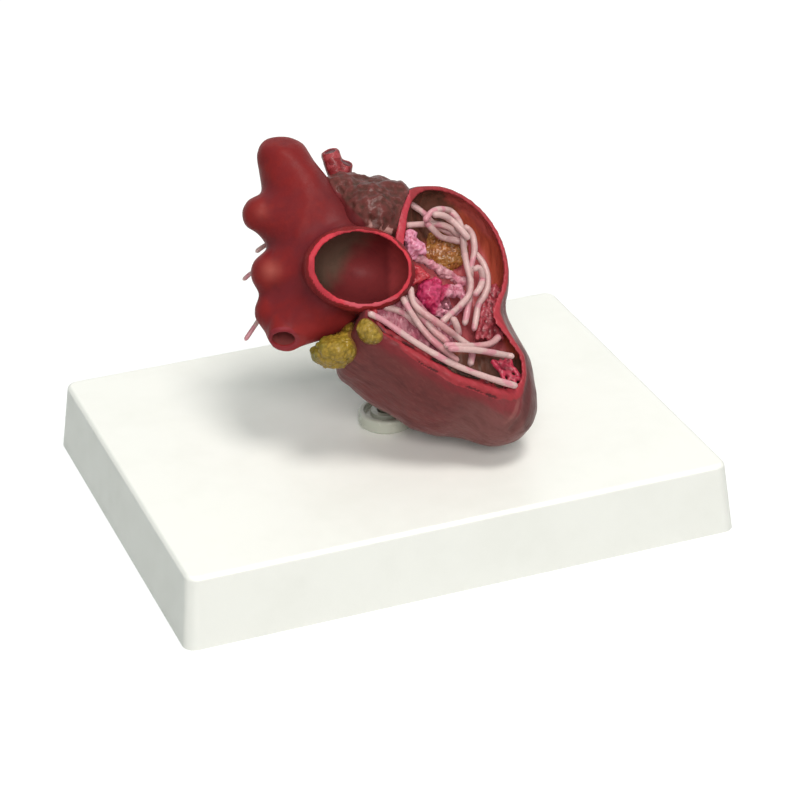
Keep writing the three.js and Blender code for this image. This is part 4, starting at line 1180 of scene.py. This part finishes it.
# %% Make the growths
growths = {
    "amber_lining": ("amber_patch", (17.2, 7.4, 10.8), egg([17.2, 7.4, 10.8], [8, 3.4, 6.2], 35)),
    "papillary_muscle": ("papillary_folds", (13, -5, -2), blend(
        1.5,
        limb([12.5, -8, -1.5], [15, 6, -6], 3.4, 5),
        limb([13, -9, -0.6], [20.4, -3, -1.8], 2.2, 1.2),
        limb([12, -9, -2.6], [9.6, -9, -5.6], 2, 1.4),
        limb([13.4, -9, -3.4], [15, -9, -7], 2.2, 1.5),
    )),
    "moderator_band": ("pale_band", (16, -4, 5), limb([9.8, -6.6, 8.2], [23, -1, 1.2], 1.3, 1.2)),
    "valve_knot": ("pink_knots", (8.6, -7.4, 12.4), blend(
        1.5,
        egg([7.6, -8, 14.2], [1.7, 2.2, 2.2]),
        egg([9.8, -8.4, 11.2], [2.1, 2.2, 1.8]),
        egg([8.2, -7.8, 9.4], [1.5, 2, 1.5]),
        limb([8, -6, 12.6], [4, 2, 13], 2, 3.2),
    )),
    "septal_strut": ("red_fork", (9.2, -8.8, 3.4), blend(
        1,
        limb([6, -9, 6.6], [12.2, -9.6, 3.2], 1.5, 0.8),
        limb([6, -10, 0.4], [12.2, -9.6, 3.2], 1.3, 0.8),
        egg([8.4, -8.6, 3.4], [3.6, 1.3, 2.6]),
    )),
}
in_wall_form = within(0.5, lambda p: chamber_form(p) - 1.2, lambda p: ventricle_form(p) + 0.5)
inner_tool = skin("inner_tool", [20, -8, -2], in_wall_form, 6)
WEBS = {"papillary_muscle": [
    (1.5, [(12.6, -8.2, -1.4), (15.4, -6.2, 1.8)]),
    (0.8, [(15.5, -7.8, -3.5), (17.6, -5.1, -0.6), (20.6, -2.6, 0.4), (22.6, -2.4, -1.6), (22.2, -4.2, -5),
           (19.6, -6.6, -7.4), (16.4, -8.5, -6.6), (14.6, -9.2, -5)]),
    (0.7, [(14.8, -8.8, -6), (16.6, -7.8, -9.4), (18.2, -7.6, -12.4)]),
    (0.6, [(17.4, -6.8, -4.2), (19, -5.4, -8), (18.6, -6.8, -11)]),
]}


def make_growth(node, lump, lump_height, crumb, crumb_height, fineness=0.3):
    name, middle, form = growths[node]
    parts = [skin(name, middle, form, 5)]
    for index, (thick, marks) in enumerate(WEBS.get(node, [])):
        places = spaced(through(marks), STEP)
        parts.append(tube(f"web_{index}", places, thick * (1 + 0.35 * cloud(places, 2.4, 2, index + 3))))
    body = merged(name, parts)
    remesh(body, fineness, 1)
    carve(body, inner_tool, how="INTERSECT")
    carve(body, atrium_tool)
    remesh(body, fineness, 2)
    spots = spots_of(body)
    push(body, lump_height * cloud(spots, lump, 2, 4) + crumb_height * (1 - 3 * np.abs(cloud(spots, crumb, 2, 3))))
    # Painted shade in the hollows.
    mark(body, "hollow", hollowness(body, 6))
    mark(body, "patch", smoothstep(cloud(spots, 3.2, 2, 12), -0.1, 0.25))
    mark(body, "fringe", smoothstep(spots[:, 0] - 0.5 * spots[:, 2], 16.4, 20.4))
    return body


# Each growth's paint darkens its hollows, as painted shade.
amber_paint = painted(
    "amber_gold", (184, 116, 60), (156, 92, 50), (220, 164, 94), patch=1.4, amount=0.9,
    layers=[
        ("hollow", (128, 72, 40), (112, 60, 34), 0.3, 0.3, 0.7),
        ("patch", (176, 122, 60), (200, 156, 90), 0.6, 0.2, 0.5),
    ],
    rough=0.22, coat=0.6, grain=0.5, dent=1.0, relief=0.2)
magenta_paint = painted(
    "papillary_magenta", (190, 42, 86), (168, 34, 74), (206, 78, 118), patch=2.2, amount=0.75,
    layers=[
        ("patch", (206, 88, 130), (192, 66, 108), 0.5, 0.25, 0.35),
        ("fringe", (214, 158, 172), (196, 112, 138), 0.6, 0.3, 0.85),
        ("hollow", (146, 36, 70), (130, 34, 62), 0.3, 0.25, 0.6),
    ],
    rough=0.34, coat=0.25, grain=0.4, dent=1.5, relief=0.15)
band_paint = painted(
    "band_pale_pink", (206, 150, 158), (184, 112, 126), (220, 180, 184), patch=2, amount=0.7,
    layers=[
        ("hollow", (162, 88, 100), (146, 74, 88), 0.3, 0.25, 0.6),
        ("patch", (206, 110, 138), (192, 92, 122), 0.5, 0.25, 0.4),
    ],
    rough=0.36, coat=0.25, relief=0.2)
knot_paint = painted(
    "knot_pink", (224, 144, 170), (208, 108, 138), (236, 194, 210), patch=2, amount=0.8,
    layers=[
        ("hollow", (176, 78, 100), (160, 66, 90), 0.3, 0.25, 0.6),
        ("patch", (228, 160, 190), (214, 120, 158), 0.5, 0.25, 0.5),
    ],
    rough=0.32, coat=0.35, relief=0.2)
strut_paint = painted(
    "fork_red", (184, 54, 64), (160, 44, 54), (198, 80, 86), patch=2, amount=0.7,
    layers=[("hollow", (128, 38, 46), (112, 36, 42), 0.3, 0.25, 0.6)], rough=0.36, coat=0.2, relief=0.2)
for node, slot, material, relief in (
    ("amber_lining", "amber_paint", amber_paint, (3, 0.6, 0.8, 0.25)),
    ("papillary_muscle", "magenta_paint", magenta_paint, (2.8, 0.8, 1.7, 0.2)),
    ("moderator_band", "band_paint", band_paint, (2.4, 0.9, 1.3, 0.2)),
    ("valve_knot", "knot_paint", knot_paint, (2.2, 0.9, 1.4, 0.22)),
    ("septal_strut", "strut_paint", strut_paint, (2.4, 0.4, 1.2, 0.15)),
):
    hand_over(make_growth(node, *relief), node, material)

# %% [markdown]
# ## How the worms lie
#
# Sixteen worms lie in the chamber, over one another and over the valve's torn leaflet. A rope simulation could drop
# them, but their routes across the window are known from the photograph, and only their depth isn't. So each worm
# is laid down along its route at its own depth, and lifted towards the viewer where it would run into what lies
# there already. The steps are those that shaped the solid model, so each worm stays where its solid is.

# %% Curves through places, and the way to lay a worm
SEAM = 0.3
LAY_SLACK = 0.1
SPOT = 0.5
WORM_RADIUS = 1
WORM_BEND = 5
NET_RADIUS = 0.8
LEAFLET_DEPTH = 4.2
LEAFLET_THICK = 1


def sunk(marks):
    """Marks across the window with their depth behind it, as places in the heart's frame."""
    x, z, depth = np.array(marks, float).T
    front = (VENTRICLE_WINDOW - window_facing[0] * x - window_facing[2] * z) / window_facing[1]
    return np.stack([x, front + depth, z], axis=1)


laid_spots, laid_radii = [], []


def keep(spots, radius):
    laid_spots.append(spots)
    laid_radii.append(np.full(len(spots), radius))


def growth_form(spots):
    return np.min([form(spots) for _, _, form in growths.values()], axis=0)


def lay(marks, radius):
    """Lays a worm along its marks, over all that lies there already."""
    spots = spaced(through(marks), SPOT)
    others, radii = np.vstack(laid_spots), np.concatenate(laid_radii)
    need = radius + radii + SEAM + LAY_SLACK
    aside = (spots[:, None, 0] - others[None, :, 0]) ** 2 + (spots[:, None, 2] - others[None, :, 2]) ** 2
    over = others[None, :, 1] - np.sqrt(np.maximum(need ** 2 - aside, 0))
    clear = spots.copy()
    clear[:, 1] = np.minimum(spots[:, 1], np.where(aside < need ** 2, over, np.inf).min(axis=1))
    low = growth_form(clear) < radius + SEAM
    while low.any():
        clear[low, 1] -= LAY_SLACK
        low = growth_form(clear) < radius + SEAM
    count = np.arange(len(spots))
    bend = ((count[:, None] - count[None, :]) * SPOT) ** 2 / (2 * WORM_BEND)
    spots[:, 1] = (clear[None, :, 1] + bend).min(axis=1)
    keep(spots, radius)
    kept = spots[::4] if (len(spots) - 1) % 4 == 0 else np.vstack([spots[::4], spots[-1:]])
    return through(kept, 0.3)


# %% [markdown]
# ## The valve's leaflet
#
# The leaflet is a thin, torn sheet of pale pink tissue that hangs under the atrium's rim. It is a grid, mapped
# between its upper and lower edge, with a little waviness, thickened by a Solidify modifier and torn by long drops
# that cut through it. Fine threads run down it into the chamber, and a remesh melts them into the sheet.

# %% Make the leaflet
SHEET_TOP = [(-4, -5.5), (4, -1), (9.5, -3.5), (13.5, -8.5), (19, -14.5), (20, -18.5)]
SHEET_FOOT = [(-1, -8), (7, -12), (14.5, -16.6)]
TORN_FOOT = [(-1.4, -8.8), (6.2, -14.2), (14, -19.2)]
TEARS = [(4.8, -7.6, 1.0), (12.2, -11.9, 0.8), (15.6, -14.6, 0.9)]
THREADS = [
    [(-2, -6.5, 2.2), (4, -9.2, 2.4), (10, -13.5, 2.8), (16, -17.5, 3.2)],
    [(-0.5, -5.9, 1.9), (6, -8.9, 2.2), (12, -13.4, 2.8), (17, -17, 3.2)],
    [(2, -4.6, 1.8), (7.4, -8.2, 2.2), (13, -12.6, 2.8), (18, -16.4, 3.4)],
    [(4, -3.4, 1.6), (8.6, -7.4, 2), (14, -12, 2.6), (19, -15.7, 3.4)],
    [(6, -1.8, 1.4), (9.6, -6.6, 1.9), (14.4, -10.8, 2.5), (20, -15.4, 3.2)],
    [(7.4, -0.2, 1.4), (9.4, -4, 1.8), (12.8, -8, 2.4), (18, -12.4, 3), (22, -15, 3.6)],
]
SHEET_LIFT = 1.5


def flat_curve(corners, count):
    places = through([(x, 0, z) for x, z in corners])
    walked = np.concatenate([[0], np.cumsum(np.linalg.norm(np.diff(places, axis=0), axis=1))])
    even = np.linspace(0, walked[-1], count)
    return np.stack([np.interp(even, walked, places[:, axis]) for axis in (0, 2)], axis=1)


upper = flat_curve(SHEET_TOP, 29)
lower = flat_curve([SHEET_TOP[0], *SHEET_FOOT, SHEET_TOP[-1]], 29)
sheet_marks = [
    (*(upper[i] + (lower[i] - upper[i]) * j / 10), LEAFLET_DEPTH - LEAFLET_THICK / 2)
    for i in range(29) for j in range(11)
]
keep(sunk(sheet_marks), LEAFLET_THICK / 2)


def make_leaflet():
    columns, rows = 110, 34
    top, foot = flat_curve(SHEET_TOP, columns + 1), flat_curve([SHEET_TOP[0], *TORN_FOOT, SHEET_TOP[-1]], columns + 1)
    grid = bmesh.new()
    bmesh.ops.create_grid(grid, x_segments=columns, y_segments=rows, size=1)
    corners = np.array([corner.co for corner in grid.verts])
    along = np.clip(np.round((corners[:, 0] + 1) / 2 * columns).astype(int), 0, columns)
    down = (corners[:, 1] + 1) / 2
    fray = 0.98 + 0.08 * np.sin(along * 0.45) + 0.06 * np.sin(along * 1.31 + 1)
    flat = top[along] + (foot[along] - top[along]) * (down * fray)[:, None]
    wave = 0.35 * np.sin(along * 0.38 + down * 2) + 0.2 * np.sin(along * 0.9) + 0.25 * np.cos(down * 7)
    places = sunk(np.column_stack([flat, LEAFLET_DEPTH - SHEET_LIFT - LEAFLET_THICK / 2 + wave]))
    for corner, spot in zip(grid.verts, places):
        corner.co = spot
    body = new_piece("torn_leaflet", grid)
    thick = body.modifiers.new("thick", "SOLIDIFY")
    thick.thickness = 0.8
    thick.offset = 0
    settle(body)
    for index, (x, z, size) in enumerate(TEARS):
        middle = sunk([(x, z, LEAFLET_DEPTH - SHEET_LIFT)])[0]
        tear = skin(f"tear_{index}", middle, egg(middle, [size * 0.75, 4, size * 1.25], 40), 4)
        carve(body, tear)
        discard(tear)
    threads = []
    for index, marks in enumerate(THREADS):
        places = spaced(through(sunk(marks)), STEP)
        places = places + 0.5 * drift(places, 4, 3 * index)
        threads.append(tube(f"thread_{index}", places, 0.42 + 0.2 * cloud(places, 2.4, 2, index + 30)))
    body = merged("torn_leaflet", [body, *threads])
    remesh(body, 0.3, 1)
    carve(body, inner_tool, how="INTERSECT")
    carve(body, atrium_tool)
    remesh(body, 0.3, 2)
    spots = spots_of(body)
    fibres = cloud(np.column_stack([spots[:, 0] + spots[:, 2] * 0.2, spots[:, 1], spots[:, 2] * 0.25]), 1.1, 2, 5)
    push(body, 0.22 * fibres)
    # Painted shade in the hollows.
    mark(body, "hollow", hollowness(body, 5))
    mark(body, "fibre", smoothstep(fibres, 0.0, 0.35))
    mark(body, "patch", smoothstep(cloud(spots, 4, 2, 12), 0.0, 0.3))
    return body


# The leaflet's paint darkens its hollows, as painted shade.
leaflet_paint = painted(
    "leaflet_mauve", (172, 100, 114), (152, 78, 94), (196, 138, 148), patch=2, amount=0.7,
    layers=[
        ("fibre", (204, 152, 160), (190, 132, 144), 0.3, 0.25, 0.45),
        ("patch", (188, 84, 110), (172, 72, 98), 0.5, 0.25, 0.4),
        ("hollow", (128, 64, 78), (116, 56, 70), 0.3, 0.25, 0.7),
    ],
    rough=0.38, coat=0.2, relief=0.2)
hand_over(make_leaflet(), "valve_leaflet", leaflet_paint)

# %% [markdown]
# ## Nets of muscle cords
#
# The wall beside the worms and the wall near the tip are covered by nets of red cords. Each net has rails that run
# down the wall and rungs between them. The cords are tubes like the leaflet's threads, and a remesh melts them
# together where they cross.

# %% Make the nets
def make_net(name, rails, lift, blush):
    rails = [sunk(marks) for marks in rails]
    cords = list(rails)
    for left, right in zip(rails, rails[1:]):
        cords += [np.array(pair) for pair in zip(left, right[1:])]
    for cord in cords:
        keep(spaced(through(cord), SPOT), NET_RADIUS)
    extra = []
    for left, right in zip(rails, rails[1:]):
        extra += [np.array([b, a]) for a, b in zip(left[1:], right)]
        extra.append((left + right) / 2)
    parts = []
    for index, cord in enumerate(cords + extra):
        places = spaced(through(cord), STEP) - [0, lift, 0]
        thick = NET_RADIUS * (0.95 if index < len(cords) else 0.6)
        places = places + 0.35 * drift(places, 2.2, index)
        parts.append(tube(f"{name}_{index}", places, thick * (1 + 0.25 * cloud(places, 1.6, 2, index + 30))))
    body = merged(name, parts)
    remesh(body, 0.28, 1)
    carve(body, inner_tool, how="INTERSECT")
    remesh(body, 0.28, 1)
    spots = spots_of(body)
    push(body, 0.12 * cloud(spots, 0.9, 2, 3))
    # Painted shade in the hollows between the cords.
    mark(body, "hollow", hollowness(body, 5))
    mark(body, "pale", smoothstep(cloud(spots, 1.8, 2, 9), 0.05, 0.35))
    mark(body, "blush", np.full(len(spots), float(blush)))
    return body


SIDE_RAILS = [
    [(28, 0, 8.5), (28.2, -5, 8.5), (27.4, -10, 8.5), (26, -15, 8)],
    [(31.6, 1, 8), (31.4, -5, 8), (30.8, -10, 8), (29.6, -15, 8)],
    [(36, 0, 7), (34.4, -5, 7.4), (33.8, -10, 7.4), (33, -15, 7)],
]
TIP_RAILS = [
    [(30, -21, 6), (32.4, -24, 5), (34, -29, 5)],
    [(35, -19.5, 6), (36, -23, 5), (39.5, -27, 4.5)],
]
# The nets' paint darkens the hollows between the cords, as painted shade.
net_paint = painted(
    "net_red", (156, 56, 66), (134, 42, 52), (174, 82, 90), patch=1.6, amount=0.8,
    layers=[
        ("blush", (204, 58, 88), (182, 46, 70), 0.3, 0.3, 0.8),
        ("hollow", (88, 28, 34), (76, 28, 32), 0.3, 0.25, 0.8),
        ("pale", (184, 92, 102), (166, 72, 84), 0.5, 0.25, 0.5),
    ],
    rough=0.38, coat=0.2, relief=0.15)
for node, name, rails, lift in (
    ("muscle_net_side", "side_net", SIDE_RAILS, 2.2),
    ("muscle_net_apex", "tip_net", TIP_RAILS, 1.2),
):
    hand_over(make_net(name, rails, lift, node == "muscle_net_apex"), node, net_paint)

# %% [markdown]
# ## The worms
#
# Heartworms are smooth, round, pale threads that get thinner only at their ends. The painter gave them a pinkish
# white with random blushes of magenta, and a pinker painted shade darkens them where they lie against the growths
# and the chamber's wall. Each is a tube along its laid curve, swelling slightly along its length, and its ends are
# drawn in to a blunt point.

# %% Make the worms
WORMS = [
    [(6.5, 25.5, 8), (8.7, 23.9, 6.5), (11.8, 21.6, 6.5), (14, 19, 7), (17, 17, 7.5), (21, 15, 8), (24, 12, 9)],
    [(3.5, 17.5, 5.5), (7.2, 18, 5.5), (11.2, 18.3, 5.5), (15.2, 18.4, 5.5), (19.2, 17.2, 6), (22, 14.5, 6.5)],
    [(12, 19, 7), (14, 17, 7), (16.3, 14.8, 7), (19.7, 13.8, 7), (23, 13, 8)],
    [(26, 10.5, 6.5), (28.2, 7.6, 6), (29.5, 4, 5.5), (29.6, 0.3, 5.5), (28.4, -2.6, 6), (26.8, -5, 6),
     (26, -9, 6), (25.2, -12.6, 6)],
    [(23, 18, 6), (25, 16.5, 5.5), (26, 13, 5.5), (25.9, 9.5, 5.5), (24.9, 6, 6), (24.5, 2, 6), (24.3, -3, 6),
     (23.5, -7, 6), (22.6, -11, 6)],
    [(11.8, 18.6, 5), (13.5, 21.1, 4), (16.1, 22.3, 3.6), (19.3, 22, 3.6), (21.5, 19.5, 3.6), (22.6, 15.4, 3.6),
     (23, 10.7, 3.6), (23.7, 6, 3.6), (24.7, 1.4, 3.6), (24.2, -2, 3.6), (22, -4.8, 3.6), (19, -7.5, 4),
     (15.8, -10.4, 4.4)],
    [(14, 20.5, 5), (17, 20.4, 4.5), (20, 18.6, 4), (22.4, 16, 4), (24.5, 13.4, 4.5)],
    [(25.2, 4.6, 5), (27.1, 5.4, 4.4), (28, 3.2, 4.4), (27.3, -0.2, 4.4), (25.4, -2.6, 4.6)],
    [(19, -8.6, 5.5), (20.4, -11.4, 5.5), (21, -14, 5.8)],
    [(-2, -5.4, 2.6), (4.5, -7, 3), (10.3, -11.7, 4), (14.4, -15, 4.6), (18.3, -18, 5)],
    [(5, -1.4, 4.5), (7.9, -5.2, 4.2), (11.2, -9.4, 4.4), (15, -13.6, 4.6), (18, -16, 5)],
    [(6.8, 2, 4), (7.4, -0.4, 3.4), (8.4, -4.9, 2.8), (10.6, -7.2, 2.6), (14.5, -10, 2.6), (18.4, -12.9, 2.6),
     (21.3, -15.1, 2.6), (24.4, -18, 2.6), (23.8, -22.6, 3.2)],
    [(3.6, 0, 3), (8.4, -8.8, 1.5), (12.7, -14.5, 1.5), (16.6, -18, 1.8), (20.6, -21.2, 2)],
    [(16.4, -16.6, 2.6), (23.9, -16.9, 2), (29.6, -16.3, 1.6), (32.6, -14, 1.6)],
    [(17.6, -17.6, 2), (25, -18.1, 1), (31.8, -19.2, 0.4), (36.4, -20, -1.4)],
    [(-4.4, -7.4, -1.2), (-0.5, -9.4, -1.2), (9.3, -16.2, -1.2), (19.2, -22, -1.2), (29.3, -26, -1.4),
     (37, -28.4, -1.6)],
]
STRAYS = [
    [(-27, 11, 13), (-31, 10.5, 14.8), (-34, 9, 13.6), (-36.8, 8, 11.6)],
    [(-24, 7.6, 2), (-29, 8.6, 3.4), (-33.5, 9, 5.6), (-37, 8.4, 6.2), (-40.6, 7.6, 3.6)],
    [(-24, 6.4, -1), (-29, 8, -0.4), (-33.6, 8, -4), (-36.6, 6.6, -8.6), (-40.2, 6, -13.8)],
]


WORM_GAP, WORM_POINT = 0.35, 1.1
WORM_THICK, STRAY_THICK = 1.02, 0.7


def free_part(places):
    """The stretch of a worm that doesn't run inside a wall."""
    under = -ventricle_form(places)
    in_wall = (under < VENTRICLE_WALL * 0.6) & (under > -0.8) & (behind_window(places) > 0.3)
    free = np.flatnonzero((atrium_form(places) > -0.6) & ~in_wall)
    runs = np.split(free, np.flatnonzero(np.diff(free) > 1) + 1)
    return places[max(runs, key=len)]


def make_worm(name, route, seed, thick):
    places = spaced(free_part(lay(route, WORM_RADIUS)), WORM_GAP)
    walked = np.arange(len(places)) * WORM_GAP
    from_end = np.minimum(walked, walked[-1] - walked)
    blunt = np.sqrt(np.clip(1 - (1 - np.clip(from_end / WORM_POINT, 0, 1)) ** 2, 0.02, 1))
    swelling = 0.93 + 0.12 * cloud(places, 5, 2, seed)
    body = tube(name, places, thick * blunt * swelling)
    spots = spots_of(body)
    mark(body, "blush", smoothstep(cloud(spots, 5.5, 2, seed + 3), 0.02, 0.4))
    # A pinker painted shade near the growths and the chamber's wall, where the worm lies against them.
    near = np.minimum(growth_form(spots), np.abs(ventricle_form(spots) + VENTRICLE_WALL))
    mark(body, "contact_shade", smoothstep(-near, -1.6, -0.2))
    return body


worm_paint = painted(
    "worm_pale", (208, 170, 168), (198, 150, 154), (218, 192, 188), patch=2.2, amount=0.6,
    # Random blushes, and a pinker painted shade where the worms lie against things.
    layers=[
        ("blush", (208, 96, 132), (196, 78, 114), 0.6, 0.35, 0.45),
        ("contact_shade", (190, 110, 118), (172, 92, 102), 0.5, 0.35, 0.45),
    ],
    rough=0.34, coat=0.25, grain=0.5, dent=1.4, dents=0.6, relief=0.12)
for index, route in enumerate(WORMS):
    hand_over(make_worm(f"pale_worm_{index + 1:02d}", sunk(route), index * 1.7, WORM_THICK), f"worm_{index + 1:02d}",
              worm_paint)
for index, route in enumerate(STRAYS):
    hand_over(make_worm(f"stray_thread_{index + 1}", np.array(route, float), 40 + index * 1.7, STRAY_THICK),
              f"stray_worm_{index + 1}", worm_paint)

# %% [markdown]
# ## The stand
#
# The base is a white tray of moulded plastic, turned upside down. Its sides slope, its top edge and corners are
# rounded, and inside it has thin ribs and a boss for the screw. A cube is scaled, its top drawn in, and its edges
# bevelled, which is how a mould maker would rough it out.

# %% Make the base
BASE_LENGTH, BASE_WIDTH, BASE_HEIGHT = 165, 127, 21
BASE_DRAFT, BASE_WALL, BASE_CORNER, BASE_EDGE = 2.3, 2.4, 3.5, 1.2
TRAY_TOP = BASE_HEIGHT - BASE_WALL
INNER_CORNER = 1.6
RIB_WALL, RIB_DEEP, RIB_ASIDE = 1.8, 4.2, 27


def tapered_block(length, width, low, high, draft, corner, edge):
    block = box((length, width, high - low), (0, 0, (high + low) / 2))
    for vert in block.verts:
        if vert.co.z > (high + low) / 2:
            vert.co.x -= math.copysign(draft, vert.co.x)
            vert.co.y -= math.copysign(draft, vert.co.y)
    upright = [e for e in block.edges if abs(e.verts[0].co.z - e.verts[1].co.z) > 1]
    bmesh.ops.bevel(block, geom=upright, offset=corner, offset_type="OFFSET", affect="EDGES", segments=8,
                    profile=0.5, material=-1)
    if edge:
        rim = [e for e in block.edges if min(v.co.z for v in e.verts) > high - 0.01]
        bmesh.ops.bevel(block, geom=rim, offset=edge, offset_type="OFFSET", affect="EDGES", segments=4,
                        profile=0.5, material=-1)
    bmesh.ops.recalc_face_normals(block, faces=block.faces)
    return block


def bar(name, size, spot):
    return new_piece(name, box(size, spot))


def make_base():
    base = new_piece("moulded_base", tapered_block(
        BASE_LENGTH, BASE_WIDTH, 0, BASE_HEIGHT, BASE_DRAFT, BASE_CORNER, BASE_EDGE))
    hollow = new_piece("base_hollow", tapered_block(
        BASE_LENGTH - 2 * BASE_WALL, BASE_WIDTH - 2 * BASE_WALL, -1, TRAY_TOP, BASE_DRAFT, INNER_CORNER, 0))
    rib_height = TRAY_TOP - 2
    ribs = [bar("rib_long", (BASE_LENGTH, RIB_WALL, RIB_DEEP), (0, 0, rib_height))]
    ribs += [bar(f"rib_cross_{side}", (RIB_WALL, BASE_WIDTH, RIB_DEEP), (side * RIB_ASIDE, 0, rib_height))
             for side in (-1, 1)]
    boss = new_piece("boss", spun([(0, 9.3), (8.6, 9.3), (9, 9.7), (9, BASE_HEIGHT), (0, BASE_HEIGHT)]))
    carve(hollow, *ribs, boss)
    hole = new_piece("hole", spun([(0, -1), (5.3, -1), (5.3, BASE_HEIGHT + 1), (0, BASE_HEIGHT + 1)]))
    carve(base, hollow, hole)
    discard(hollow, boss, hole, *ribs)
    flat_faces(base)
    return base


def spun_piece(name, shape, rounding):
    """A turned piece of the stand, with its edges rounded."""
    piece = new_piece(name, shape)
    modify(piece, "BEVEL", width=rounding, segments=3, limit_method="ANGLE", angle_limit=math.radians(40))
    settle(piece)
    flat_faces(piece)
    return piece


# %% Make the plastic and metal finishes
def moulded(name, base, shade, rough, relief=0.04, coat=0.0):
    """Moulded plastic: an even colour with the faintest clouds, and a fine satin texture."""
    material = new_material(name)
    tree = material.node_tree
    spot = put(tree, "TexCoord").outputs["Object"]
    colour = brushed(tree, spot, base, shade, base, 22.0, 0.5)["Color"]
    cloudy = put(tree, "Group", {"Place": spot, "Patch mm": 5.0}, node_tree=hand_paint).outputs["Mask"]
    varnish(tree, resin_skin(tree, spot, 0.6, 9.0, 0.35), relief, {
        "Base Color": colour, "Roughness": ranged(tree, cloudy, rough - 0.05, rough + 0.06), "Coat Weight": coat})
    return material


def plated(name, base, shade, rough):
    """Metal with fine turning marks round its axis."""
    material = new_material(name)
    tree = material.node_tree
    spot = put(tree, "TexCoord").outputs["Object"]
    rings = put(tree, "TexWave", {"Vector": spot, "Scale": 900.0, "Distortion": 1.5, "Detail": 2.0}, wave_type="RINGS",
                rings_direction="Z").outputs[1]
    colour = brushed(tree, spot, base, shade, base, 2.0, 0.6)["Color"]
    varnish(tree, rings, 0.03, {"Base Color": colour, "Metallic": 1.0,
                                "Roughness": ranged(tree, rings, rough - 0.06, rough + 0.08)}, strength=0.4)
    return material


base_plastic = moulded("base_white_satin", (250, 249, 245), (244, 243, 238), 0.42)
hand_over(make_base(), "base_shell", base_plastic, "base", MILLIMETRES)

# %% [markdown]
# ## The cup, the pin and their fastenings
#
# The heart stands on a dark pin that turns in a milky ringed cup. Cup, washer, pin and sleeve are all turned
# pieces, so each is spun from its half outline. The screw's head gets a slot.

# %% Make the cup, the pin, the sleeve, the washer and the screw
CUP_TOP, PIN_SEAT, COLLAR_TOP = 25.3, 14.8, 31.5
cup = spun([
    (0, 13.2), (1.65, 13.2), (1.65, 9.6), (5, 9.6), (5, 21), (7.67, 21), (8.2, 21.53), (8.2, 24.77), (7.67, CUP_TOP),
    (6.6, CUP_TOP), (6.6, 23.7), (4.6, 23.7), (4.6, CUP_TOP), (2.7, CUP_TOP), (2.7, PIN_SEAT), (0, PIN_SEAT)])
pin = spun([
    (0, 15.1), (2.45, 15.1), (2.45, 30.3), (3.7, 30.3), (3.7, COLLAR_TOP), (2.45, COLLAR_TOP), (2.45, 42.89),
    (1.84, 43.5), (0, 43.5)])
sleeve = spun([(0, 43.8), (2.7, 43.8), (2.7, 31.8), (4.8, 31.8), (4.8, 45.4), (0, 45.4)])
washer = spun([(1.65, 8.1), (7.2, 8.1), (7.2, 9.3), (1.65, 9.3), (1.65, 8.1)])
screw = spun([(0, 5.9), (2.24, 5.9), (3.2, 7.0), (3.2, 8.1), (1.5, 8.1), (1.5, 12.15), (0.75, 12.9), (0, 12.9)])
cup_plastic = moulded("cup_milky", (190, 191, 178), (172, 176, 164), 0.3, relief=0.05, coat=0.3)
pin_steel = plated("pin_dark_steel", (138, 134, 122), (112, 108, 98), 0.42)
sleeve_plastic = moulded("sleeve_grey", (201, 201, 189), (186, 186, 174), 0.48)
zinc = plated("zinc_plate", (190, 192, 194), (168, 170, 174), 0.34)
for name, shape, rounding, node, slot, material, body in (
    ("ringed_cup", cup, 0.25, "stand_cup", "cup_plastic", cup_plastic, "base"),
    ("turned_pin", pin, 0.25, "stand_pin", "dark_steel", pin_steel, "pin"),
    ("sleeve_in_heart", sleeve, 0.25, "pin_sleeve", "sleeve_plastic", sleeve_plastic, "heart"),
    ("flat_washer", washer, 0.15, "cup_washer", "zinc_steel", zinc, "base"),
):
    hand_over(spun_piece(name, shape, rounding), node, material, body, MILLIMETRES)
slotted = new_piece("slotted_screw", screw)
slot_tool = bar("slot_tool", (9.6, 0.9, 1.2), (0, 0, 6.4))
carve(slotted, slot_tool)
discard(slot_tool)
hand_over(slotted, "cup_screw", zinc, "base", MILLIMETRES)

# %% [markdown]
# ## Tidy up
#
# The cutting tools go.

# %% Remove the tools
discard(atrium_tool, ventricle_tool, auricle_tool, window_tool, inner_tool)
